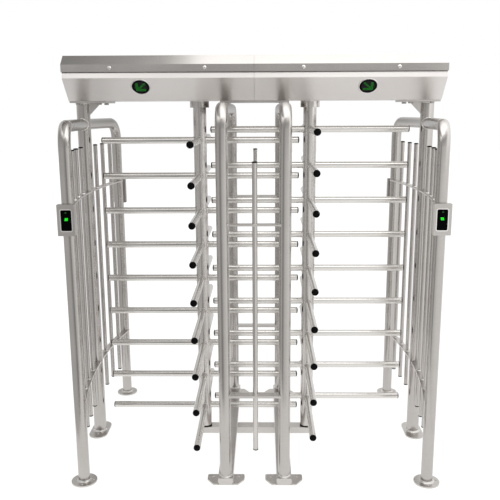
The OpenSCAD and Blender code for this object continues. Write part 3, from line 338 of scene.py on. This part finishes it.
bar_seam, cope_seam, flush_seam = bead(0.0045), bead(0.004), bead(0.0007)
seams = []
for foot in guard_bars:
    seams += bar_rings(foot, guard_bar_r, guard_faces, bar_seam)
for x in sides:
    for y in sides:
        seams.append(swept(ring((x * leg_x, y * leg_y, guard_low.z), up, tube_r), up, foot_weld))
        # The rail is coped round the post.
        saddle = [Vector((x * post_x + y * tube_r * cos(turn),
                          y * sqrt(post_r ** 2 - (tube_r * cos(turn)) ** 2),
                          rail_z + tube_r * sin(turn))) for turn in full_turn(48)]
        seams.append(swept(saddle, y * back, cope_seam))
        # The butt joint of rail and leg was ground flush, so only a line of it is left.
        joint = Vector((x * (bow_x + plan_r * cos(rail_angle)), y * plan_r * sin(rail_angle), rail_z))
        along = Vector((-x * sin(rail_angle), y * cos(rail_angle), 0))
        seams.append(swept(ring(joint, along, tube_r), along, flush_seam))
piece("side_guard_welds", seams, "frame", weld_metal)


# Black caps in the ends of the guard bars and centre bars. Injection moulded LDPE, pushed in,
# with a fine moulded grain that keeps them satin.

def turned(profile, place, steps=32):
    """A profile of radius and height turned round the Z axis of its place."""
    return skin([[place @ Vector((radius * cos(turn), radius * sin(turn), height))
                  for turn in full_turn(steps)] for radius, height in profile])


# Moulded grain, 0.4 mm, drawn at 1.5 mm.
moulded_cap = grained("moulded_black_ldpe", ("#060607", "#0b0b0c"), (0.0015, 0.0015, 0.0015), 0.0001,
                      Roughness=0.36, IOR=1.51, Specular_IOR_Level=0.07)

# The head of a cap is domed and a little wider than its bar, and its stub is pushed into the bar.
cap_h, cap_overhang, cap_chamfer = 0.0075, 0.0010, 0.0004
stub_inwards, stub_len = 0.0016, 0.012


def cap_profile(bar_radius):
    """A cap for a bar, with its head above the bar's end and its stub below."""
    wide, narrow = bar_radius + cap_overhang, bar_radius - stub_inwards
    dome = [(out * wide, rise * cap_h) for out, rise in (
        (0, 1), (0.5, 0.97), (0.8, 0.86), (0.94, 0.68), (1, 0.42), (1, 0.1))]
    return dome + [(wide - cap_chamfer, 0), (narrow, 0), (narrow, -stub_len), (0, -stub_len)]


caps = []
for node, radius, feet in (("right_guard_bars", guard_bar_r, guard_bars),
                           ("centre_bars", centre_bar_r, centre_bars)):
    bar_low, bar_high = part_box(node)
    profile = cap_profile(radius)
    for foot in feet:
        caps.append(turned(profile, Matrix.Translation(foot + up * bar_high.z)))
        caps.append(turned(profile, Matrix.Translation(foot + up * bar_low.z) @ Matrix.Rotation(pi, 4, "X")))
cap = piece("moulded_bar_caps", caps, "frame", moulded_cap, edge=30)
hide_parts("bar_end_caps")


# Lower pivots: turned pedestals on the cross beam with a zinc plated pin in a bronze bush, and a
# black rubber ring that keeps dirt out of the gap under each rotor post.

# Rubber has a dull bloom, drawn in 5 mm clouds.
seal_rubber = grained("moulded_epdm_rubber", ("#0d0d0e", "#151516"), (0.005, 0.005, 0.005), 0.0001,
                      Roughness=0.65, IOR=1.52, Specular_IOR_Level=0.3)
dress(seal_rubber, "foot_seals")
# Zinc grows in 2 mm crystals under a clear passivation, which gives a pale, slightly yellow grey.
zinc_plate = grained("zinc_plated_steel", ("#a3a297", "#b9b8af"), (0.002, 0.002, 0.002), 0.00002,
                     Metallic=1.0, Roughness=0.38)
dress(zinc_plate, "pivot_pedestals")
# Sintered bearing bronze is full of fine pores, 0.1 mm, drawn at 0.8 mm.
bearing_bronze = grained("sintered_bearing_bronze", ("#97744a", "#b08d5b"), (0.0008, 0.0008, 0.0008),
                         0.00005, Metallic=1.0, Roughness=0.35)
dress(bearing_bronze, "left_foot_bush", "right_foot_bush")


# Rotors: a 76 mm post with four wings of nine arms, 38 mm tube coped and welded to the post, and a
# black plug driven into the end of each arm. Both parts are polished round the girth.

# The arms lie both ways, so their fine marks are drawn alike along every axis, in soft 30 mm clouds.
arm_tube = polished_steel("satin_polished_arm_tube", ("#d8d5d1", "#dbd8d4"), (0.18, 0.19),
                          (0.03, 0.03, 0.03))
dress(fine_tube, "left_rotor_post", "right_rotor_post")
dress(arm_tube, "left_rotor_arms", "right_rotor_arms")

names = ("left", "right")
rotor_low, rotor_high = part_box("right_rotor_post")
rotor_x, rotor_r = (rotor_low.x + rotor_high.x) / 2, (rotor_high.x - rotor_low.x) / 2
arm_r, arm_pitch, arm_rows = 0.019, 0.207, 9
arm_weld = bead(0.003, facets=6)
# The plug's face is domed inside a shallow groove, its shoulder is rounded over the end of the
# tube, and its spigot is driven inside.
spigot_r, spigot_tip_r, spigot_len, spigot_chamfer = 0.0172, 0.0160, 0.015, 0.001
plug_profile = [(0, 0.0080), (0.0050, 0.0078), (0.0095, 0.0071), (0.0120, 0.0063), (0.0126, 0.0054),
                (0.0134, 0.0054), (0.0140, 0.0060), (0.0160, 0.0050), (0.0180, 0.0036), (0.0188, 0.0024),
                (arm_r, 0.0012), (arm_r, 0), (spigot_r, 0), (spigot_r, spigot_chamfer - spigot_len),
                (spigot_tip_r, -spigot_len), (0, -spigot_len)]
for side, name in zip(sides, names):
    arms_low, arms_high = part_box(f"{name}_rotor_arms")
    seams, plugs = [], []
    for wing in range(4):
        quarter = Matrix.Rotation(wing * pi / 2, 4, "Z")
        outwards, across = quarter @ right, quarter @ back
        for row in range(arm_rows):
            at = Vector((side * rotor_x, 0, arms_low.z + arm_r + row * arm_pitch))
            saddle = [at + outwards * sqrt(rotor_r ** 2 - (arm_r * cos(turn)) ** 2)
                      + across * arm_r * cos(turn) + up * arm_r * sin(turn) for turn in full_turn(32)]
            seams.append(swept(saddle, outwards, arm_weld))
            arm_end = Matrix.Translation(at + outwards * arms_high.y)
            plugs.append(turned(plug_profile, arm_end @ quarter @ Matrix.Rotation(pi / 2, 4, "Y")))
    piece(f"{name}_rotor_welds", seams, f"{name}_rotor", weld_metal)
    plug = piece(f"{name}_moulded_plugs", plugs, f"{name}_rotor", moulded_cap, edge=30)
    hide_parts(f"{name}_arm_plugs")


# Head of each rotor: a turned shaft in a bearing in a cast housing, and a notched disc that a
# sliding bolt drops into. The bolts, their springs and the solenoids stand on folded bridges.

dress(fine_tube, "rotor_collars")
dress(zinc_plate, "left_head_shaft", "right_head_shaft", "left_index_disc", "right_index_disc",
      "upper_bearings", "mechanism_plates", "lock_bridges", "left_lock_bolt", "right_lock_bolt")
# Sand cast iron keeps the grain of the sand, 1 mm, under a coat of grey primer.
cast_iron = grained("primed_cast_iron", ("#5b5c5c", "#6b6c6b"), (0.0012, 0.0012, 0.0012), 0.0003,
                    Roughness=0.6)
dress(cast_iron, "bearing_housings")
# The solenoid is wrapped in black varnished tape, with turns 9 mm wide.
coil_tape = grained("varnished_coil_tape", ("#111113", "#1c1c1f"), (0.05, 0.05, 0.009), 0.0002,
                    Roughness=0.45, IOR=1.5)
dress(coil_tape, "lock_solenoids")

collar_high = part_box("rotor_collars")[1]
collar_weld = fillet(0.004)
seams = [swept(ring((x * rotor_x, 0, collar_high.z), down, collar_high.y), down, collar_weld) for x in sides]
piece("collar_welds", seams, "frame", weld_metal)

# The die leaves marks 0.1 mm wide, which are drawn 1 mm wide and upright, as faint flecks.
drawn_wire = grained("drawn_spring_wire", ("#8d8c88", "#a3a29e"), (0.001, 0.001, 0.006), 0.00002,
                     Metallic=1.0, Roughness=0.3)
# Return springs of 2.5 mm wire, with end turns that are closed up and lie flat.
spring_low, spring_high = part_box("right_lock_spring")
spring_y, spring_foot, spring_top = (spring_low.y + spring_high.y) / 2, spring_low.z, spring_high.z
wire_r, coil_r, coil_turns, closed_turns, turn_steps = 0.00125, 0.0125, 6.5, 0.9, 24
for side, name in zip(sides, names):
    path = []
    for i in range(int(coil_turns * turn_steps) + 1):
        turn = i / turn_steps
        rise = min(max((turn - closed_turns) / (coil_turns - 2 * closed_turns), 0), 1)
        level = spring_foot + wire_r + rise * (spring_top - spring_foot - 2 * wire_r)
        path.append(Vector((side * rotor_x + coil_r * cos(2 * pi * turn),
                            spring_y + coil_r * sin(2 * pi * turn), level)))
    spring = piece(f"{name}_coil_spring", [swept(path, up, bead(wire_r), closed=False)], "frame",
                   drawn_wire)
    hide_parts(f"{name}_lock_spring")
    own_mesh(spring)


# Electrics beside each lock: a control board of glass fibre laminate on four stand-offs, and a power
# supply in a case of folded aluminium. Both are fixed to the floor of the canopy.

# Green solder mask is a smooth lacquer over the tracks, drawn as 3 mm patches of two greens.
solder_mask = grained("solder_mask_on_fr4", ("#0a3f1e", "#0f5428"), (0.003, 0.0012, 0.003), 0.00005,
                      Roughness=0.3, IOR=1.5)
dress(solder_mask, "control_boards")
# Aluminium sheet keeps its rolling lines, 0.3 mm apart, drawn 2 mm apart.
folded_case = grained("plain_folded_aluminium", ("#b9b9b8", "#c9c9c8"), (0.08, 0.002, 0.08), 0.00002,
                      Metallic=1.0, Roughness=0.36)
dress(folded_case, "power_supplies")


# Canopy: two folded troughs under two folded lids, 2 mm stainless sheet with a long brushed grain
# that runs from end to end. Socket head screws with low domes hold each lid.

# Brush lines, 0.15 mm apart and 100 to 300 mm long, drawn 3 mm apart. The troughs are duller, and are painted
# lighter than the lids: a painted highlight for the bright reflections on their slope and lip.
brushed_sheet = polished_steel("brushed_stainless_sheet", ("#c2beba", "#c6c2be"), (0.20, 0.25),
                               (0.2, 0.003, 0.003))
trough_sheet = polished_steel("brushed_stainless_trough_painted_highlight", ("#d2cecb", "#d6d2cf"), (0.32, 0.36),
                              (0.2, 0.003, 0.003))
dress(brushed_sheet, "left_canopy_lid", "right_canopy_lid")
dress(trough_sheet, "left_canopy_trough", "right_canopy_trough")

# Turning marks, 0.1 mm apart, are drawn as 2 mm flecks. Polished heads are brighter than the sheet.
bright_screw = polished_steel("polished_screw_head", ("#dad8d5", "#e6e4e1"), (0.2, 0.26),
                              (0.002, 0.002, 0.002))

screws_low, screws_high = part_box("lid_screws")
screw_z = (screws_low.z + screws_high.z) / 2
lid_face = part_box("right_canopy_lid")[1].y
screw_r, screw_h, socket_r, socket_depth = 0.0105, 0.0045, 0.0025, 0.002
thread_r, thread_len = 0.003, 0.018
outer_screw_x, inner_screw_x = 0.780, 0.266
screw_profile = [(0, screw_h - socket_depth), (socket_r, screw_h - socket_depth), (socket_r, screw_h),
                 (0.0046, 0.0044), (0.0066, 0.0038), (0.0086, 0.0027), (0.0099, 0.0013), (screw_r, 0),
                 (thread_r, 0), (thread_r, -thread_len), (0, -thread_len)]
screws = []
for x in (-outer_screw_x, -inner_screw_x, inner_screw_x, outer_screw_x):
    for y in sides:
        place = Matrix.Translation((x, y * lid_face, screw_z)) @ Matrix.Rotation(-y * pi / 2, 4, "X")
        screws.append(turned(screw_profile, place, steps=24))
screw = piece("socket_head_screws", screws, "frame", bright_screw, edge=30)
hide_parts("lid_screws")


# Indicators: a polished bezel and a black moulded inlay round a smoked window on each slope, over a
# matrix of small round lamps. The lit ones draw an arrow that points down and to the outside.

def lamp_lens(name, code, strength):
    """Moulded epoxy of a small lamp, frosted, with its own light and clouds 1 mm across. On an unlit lamp
    that light is a painted glow.
    """
    return grained(name, ("#050505", "#080808"), (0.001, 0.001, 0.001), 0.00001, Roughness=0.5, IOR=1.5,
                   Specular_IOR_Level=0.2, Emission_Color=linear(code), Emission_Strength=strength)


def placed(at, across, upwards, outwards):
    """The place of something by its origin and its three axes."""
    return Matrix.Translation(at) @ Matrix((across, upwards, outwards)).transposed().to_4x4()


# Smoked acrylic is polished, with a faint cloud in its tint, and so dark that only lamps show.
smoked_acrylic = grained("smoked_polished_acrylic", ("#020203", "#040305"), (0.02, 0.02, 0.02), 0.000001,
                         Roughness=0.15, IOR=1.49, Specular_IOR_Level=0.03)
dress(smoked_acrylic, "indicator_windows")
# The bezel is turned from bar and polished bright, with turning marks 0.2 mm apart, which are drawn
# as 2 mm flecks.
bright_metal = polished_steel("bright_turned_steel", ("#e2e0dd", "#ebe9e7"), (0.16, 0.2),
                              (0.002, 0.002, 0.002))
lit_lens = lamp_lens("lit_green_epoxy_lens", "#1a9c22", 0.65)
# The unlit lamps are given a faint painted glow, though no lamp behind them is lit.
unlit_lens = lamp_lens("unlit_epoxy_lens_painted_glow", "#3f3646", 0.25)

# The slope rises from the edge of the canopy's sole to its knee, and carries the indicator past half way.
trough_low, trough_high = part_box("right_canopy_trough")
sole_half, knee_rise, indicator_x, indicator_share = 0.140, 0.118, 0.621, 0.6246
slope_run = trough_high.y - sole_half
slope = atan(knee_rise / slope_run)
indicator_y = sole_half + indicator_share * slope_run
indicator_z = trough_low.z + indicator_share * knee_rise

bezel_in, bezel_out = 0.0482, 0.0540
bezel_profile = [(bezel_in, 0), (bezel_out, 0), (bezel_out, 0.0012), (0.0534, 0.0024), (0.0522, 0.0034),
                 (0.0508, 0.0040), (0.0494, 0.0038), (bezel_in, 0.0030), (bezel_in, 0)]
inlay_in, inlay_out, inlay_h, inlay_edge = 0.0428, 0.0484, 0.0036, 0.0006
inlay_profile = [(inlay_in, 0), (inlay_out, 0), (inlay_out, inlay_h - inlay_edge),
                 (inlay_out - inlay_edge, inlay_h), (inlay_in + inlay_edge, inlay_h),
                 (inlay_in, inlay_h - inlay_edge / 2), (inlay_in, 0)]
face_z, matrix_r, lamp_pitch, lamp_r, lamp_h = 0.0032, 0.038, 0.005, 0.0020, 0.0005
lamp_profile = [(0, lamp_h), (0.6 * lamp_r, 0.8 * lamp_h), (lamp_r, 0.2 * lamp_h), (lamp_r, 0)]
arrow_half, stroke = 0.027, 0.014


def lit(x, y):
    """Whether a lamp is in the arrow: a barb up one edge, a barb along the foot, and the shaft."""
    if max(abs(x), abs(y)) > arrow_half:
        return False
    return x > arrow_half - stroke or y < stroke - arrow_half or abs(x + y) < 0.5 * stroke


lamp_reach = int(matrix_r / lamp_pitch)
grid = [lamp_pitch * i for i in range(-lamp_reach, lamp_reach + 1)]
bezels, inlays, shining, dark = [], [], [], []
for x in sides:
    for y in sides:
        place = placed((x * indicator_x, y * indicator_y, indicator_z), -y * right,
                       Vector((0, y * cos(slope), sin(slope))), Vector((0, y * sin(slope), -cos(slope))))
        bezels.append(turned(bezel_profile, place, steps=64))
        inlays.append(turned(inlay_profile, place, steps=64))
        for u, v in ((u, v) for u in grid for v in grid if hypot(u, v) <= matrix_r):
            lamp = turned(lamp_profile, place @ Matrix.Translation((u, v, face_z)), steps=10)
            (shining if lit(-y * x * u, v) else dark).append(lamp)
bezel = piece("polished_bezels", bezels, "frame", bright_metal, edge=30)
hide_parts("indicator_bezels")
piece("moulded_inlays", inlays, "frame", moulded_cap, edge=30)
arrows = piece("lit_arrow_lamps", shining, "frame", lit_lens, edge=60)
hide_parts("indicator_arrows")
piece("unlit_lamps_painted_glow", dark, "frame", unlit_lens, edge=60)


# Card readers: a brushed steel housing clamped round each guard leg, with a smoked glass window in
# a thin raised rim. Two slanted bars and a small dot light up behind the glass.

def rounded(width, height, corner, steps=6):
    """Points anticlockwise round a rectangle with round corners."""
    points = []
    for quarter, (x, y) in enumerate(((1, 1), (-1, 1), (-1, -1), (1, -1))):
        for i in range(steps + 1):
            turn = pi / 2 * (quarter + i / steps)
            points.append(((width / 2 - corner) * x + corner * cos(turn),
                           (height / 2 - corner) * y + corner * sin(turn)))
    return points


def slab(outline, place, thick):
    """A flat plate with a small chamfer round its face."""
    middle_x, middle_y = [sum(parts) / len(outline) for parts in zip(*outline)]
    chamfer = 0.25 * thick
    face = [(x + copysign(chamfer, middle_x - x), y + copysign(chamfer, middle_y - y)) for x, y in outline]
    corners, faces = skin([[place @ Vector((x, y, height)) for x, y in points] for points, height in (
        (outline, 0), (outline, thick - chamfer), (face, thick))])
    count = len(outline)
    return corners, faces + [tuple(range(count)), tuple(range(2 * count, 3 * count))]


# Brush marks 0.15 mm apart, drawn 3 mm apart, across the housing.
housing_steel = polished_steel("brushed_reader_housing", ("#b2aeaa", "#bcb8b4"), (0.28, 0.36),
                               (0.05, 0.05, 0.003))
dress(housing_steel, "reader_housings")
# The rim was pressed and buffed, and its buffing clouds, 4 mm across, hardly show.
rim_metal = polished_steel("bright_reader_rim", ("#dcd9d6", "#e6e4e1"), (0.22, 0.28), (0.004, 0.004, 0.004))
lit_mark = lamp_lens("lit_green_reader_lens", "#00ff10", 1.0)
dim_mark = lamp_lens("dim_green_reader_lens", "#0d5a18", 0.9)

reader_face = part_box("reader_housings")[1].y
glass_w, glass_h, glass_corner, glass_proud = 0.054, 0.106, 0.007, 0.0008
glass_z, glass_inwards = 1.466, 0.0022
glass_outline = rounded(glass_w, glass_h, glass_corner)
rim_w, reader_rim_h, rim_sunk = 0.005, 0.0012, 0.0002
rim_section = [(0, -rim_sunk), (rim_w, -rim_sunk), (rim_w, 0.6 * reader_rim_h), (0.7 * rim_w, reader_rim_h),
               (0.3 * rim_w, reader_rim_h), (0, 0.6 * reader_rim_h)]
mark_t, marks_x, marks_y = 0.0004, 0.0004, 0.0058
bar_w, bar_half, bar_lean, bar_starts = 0.0072, 0.0072, 0.0015, (-0.0077, 0.0005)
dot_x, dot_y, dot_outline = -0.002, 0.0334, rounded(0.009, 0.006, 0.0025)
glasses, rims, marks, dots = [], [], [], []
for x in sides:
    for y in sides:
        place = placed((x * (leg_x - glass_inwards), y * reader_face, glass_z), -y * right, up, y * back)
        glasses.append(slab(glass_outline, place, glass_proud))
        rims.append(swept([place @ Vector((u, v, 0)) for u, v in glass_outline], y * back, rim_section))
        # The marks lean and lie the other way on the other side, as they do round a half turn.
        hand = y * x
        lean = bar_lean * hand
        on_glass = place @ Matrix.Translation((marks_x * hand, marks_y, glass_proud))
        for start in bar_starts:
            bar = [(start - lean, -bar_half), (start + bar_w - lean, -bar_half),
                   (start + bar_w + lean, bar_half), (start + lean, bar_half)]
            marks.append(slab(bar, on_glass, mark_t))
        dots.append(slab(dot_outline, on_glass @ Matrix.Translation((dot_x * hand, dot_y, 0)), mark_t))
glass = piece("reader_glasses", glasses, "frame", smoked_acrylic, edge=30)
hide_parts("reader_windows")
piece("reader_rims", rims, "frame", rim_metal, edge=30)
piece("reader_lit_bars", marks, "frame", lit_mark, edge=30)
piece("reader_dots", dots, "frame", dim_mark, edge=30)


# Studio: a floor of white paper that runs into white, three soft boxes, one above and one at each
# front corner, and grey card round the gate. None of it is part of the object.

def seen_directly(tree):
    """1 for what the camera sees, straight or in metal and glass, and 0 for the light on the gate."""
    path = add(tree, "LightPath")
    either = add(tree, "Math", {"operation": "ADD"},
                 {0: path.outputs["Is Camera Ray"], 1: path.outputs["Is Glossy Ray"]})
    return add(tree, "Math", {"operation": "ADD", "use_clamp": True},
               {0: either.outputs[0], 1: path.outputs["Is Transmission Ray"]}).outputs[0]


air = bpy.data.worlds.new("studio_air")
bpy.context.scene.world = air
air.use_nodes = True
tree = air.node_tree
white, soft_grey = (1, 1, 1, 1), (0.6, 0.6, 0.6, 1)
sky = add(tree, "Mix", {"data_type": "RGBA", 6: soft_grey, 7: white}, {0: seen_directly(tree)})
tree.links.new(sky.outputs[2], tree.nodes["Background"].inputs["Color"])

# Lit paper is a little short of white, and its own glow, for what is seen, makes up the rest.
paper, shader, tree = finish("white_paper", Base_Color=linear("#989898"), Roughness=0.9)
missing_light = 0.85
lift = add(tree, "Math", {"operation": "MULTIPLY", 1: missing_light}, {0: seen_directly(tree)})
glow = add(tree, "Emission", {"Color": white}, {"Strength": lift.outputs[0]})
both = add(tree, "AddShader", {}, {0: shader.outputs[0], 1: glow.outputs[0]})
tree.links.new(both.outputs[0], tree.nodes["Material Output"].inputs["Surface"])

floor_half = 30
mesh = bpy.data.meshes.new("studio_floor")
mesh.from_pydata([(floor_half * x, floor_half * y, 0) for x, y in ((-1, -1), (1, -1), (1, 1), (-1, 1))], [],
                 [(0, 1, 2, 3)])
mesh.materials.append(paper)
put("studio_floor", mesh)


def soft_box(name, place, target, size, radiance):
    """A square lamp of even brightness that shines towards a point."""
    lamp = bpy.data.lights.new(name, "AREA")
    lamp.shape = "RECTANGLE"
    lamp.size, lamp.size_y = size
    lamp.energy = radiance * pi * size[0] * size[1]
    made = put(name, lamp)
    made.location = place
    made.rotation_euler = (Vector(target) - Vector(place)).to_track_quat("-Z", "Y").to_euler()
    made.visible_camera = False


soft_box("top_box", place=(0.95, -0.4, 4.6), target=(0.95, -0.4, 0), size=(2.6, 2.4), radiance=2.2)
soft_box("left_box", place=(-3.2, -2.6, 3.1), target=(0, 0, 1.4), size=(1.4, 2.0), radiance=1.6)
soft_box("right_box", place=(3.2, -2.8, 3.1), target=(0, 0, 1.4), size=(1.4, 2.0), radiance=1.4)


# Cards stand round the gate and over it, painted lighter and darker in soft clouds, so that round
# tubes show their roundness. Metal alone sees them: they light nothing else and cast no shadow.
def cards(name, corners, panels, tones):
    """Grey card that glows with its tone at each corner, and is seen only in metal and glass."""
    mesh = bpy.data.meshes.new(name)
    mesh.from_pydata(corners, [], panels)
    paint = mesh.color_attributes.new("tone", "FLOAT_COLOR", "POINT")
    for dab, tone in zip(paint.data, tones):
        dab.color = (tone, tone, tone, 1)
    card, shader, tree = finish(name)
    tone = add(tree, "Attribute", {"attribute_name": "tone"})
    glow = add(tree, "Emission", {"Strength": 1.0}, {"Color": tone.outputs["Color"]})
    tree.links.new(glow.outputs[0], tree.nodes["Material Output"].inputs["Surface"])
    mesh.materials.append(card)
    made = put(name, mesh)
    made.visible_camera = False
    made.visible_diffuse = False
    made.visible_shadow = False
    made.visible_transmission = False


# Tones by direction, in degrees from the front over the right side: below, at the canopy, and along
# the top, where two soft bright cards lean over the front corners. A narrow dark card stands at the
# left of the front, and draws the dark line down each tube.
low_tones = [(0, 0.85), (45, 1.1), (90, 1.15), (135, 0.95), (180, 0.8), (225, 0.65), (270, 0.65),
             (315, 0.7), (338, 0.3), (360, 0.85)]
mid_tones = [(0, 0.5), (45, 0.5), (68, 1.8), (90, 1.5), (135, 0.8), (180, 0.4), (225, 0.6), (270, 0.8),
             (292, 0.4), (338, 0.45), (360, 0.5)]
top_tones = [(0, 0.8), (45, 2.0), (68, 2.4), (90, 1.9), (135, 0.8), (180, 0.5), (225, 0.7), (270, 0.9),
             (292, 1.2), (315, 2.5), (338, 1.9), (360, 0.8)]


def tone_at(tones, turn):
    """The tone in one direction, between the two that are given beside it."""
    for (here, tone), (there, next_tone) in zip(tones, tones[1:]):
        if turn <= there:
            return tone + (next_tone - tone) * (turn - here) / (there - here)


wall_r, plain_h, canopy_h, wall_h, directions = 1.75, 1.6, 2.3, 3.1, 16
rows, shades = [], []
for height, tones in ((0.0, low_tones), (plain_h, low_tones), (canopy_h, mid_tones), (wall_h, top_tones)):
    rows.append([(wall_r * sin(turn), -wall_r * cos(turn), height) for turn in full_turn(directions)])
    shades += [tone_at(tones, 360 * i / directions) for i in range(directions)]
cards("wall_cards", *skin(rows), shades)

# Overhead, the light ends left of the middle, and it is half as strong behind the gate.
roof_half, dark_x, bright_x = 1.8, -0.6, -0.35
columns = ((-roof_half, 0.3), (dark_x, 0.8), (bright_x, 2.3), (roof_half, 2.4))
depths = ((-roof_half, 1.0), (-0.5, 1.0), (0.4, 0.5), (roof_half, 0.5))
corners = [(x, y, wall_h) for y, share in depths for x, tone in columns]
starts = [4 * row + column for row in range(3) for column in range(3)]
panels = [(i, i + 1, i + 5, i + 4) for i in starts]
cards("roof_cards", corners, panels, [tone * share for y, share in depths for x, tone in columns])


# Camera: a little below the canopy, 4 m in front of the gate's middle, and turned down 12 degrees.
# Its place and its lens were fitted to the tubes, plates and arm ends.

lens = bpy.data.cameras.new("camera")
lens.lens = 48.903
lens.sensor_width = 36
lens.shift_x = -0.008166
lens.shift_y = 0.005970
lens.clip_end = 100
viewpoint = (0.046861, -4.023754, 1.999935)
tilt, turn, roll = radians(11.7827), radians(-0.7716), radians(-0.2437)
ahead = Vector((sin(turn) * cos(tilt), cos(turn) * cos(tilt), -sin(tilt)))
level_side = Vector((cos(turn), -sin(turn), 0))
above = level_side.cross(ahead)
right_hand = level_side * cos(roll) + above * sin(roll)
head = above * cos(roll) - level_side * sin(roll)
camera = put("camera", lens)
camera.matrix_world = placed(viewpoint, right_hand, head, -ahead)
bpy.context.scene.camera = camera
bpy.context.scene.view_settings.view_transform = "Standard"
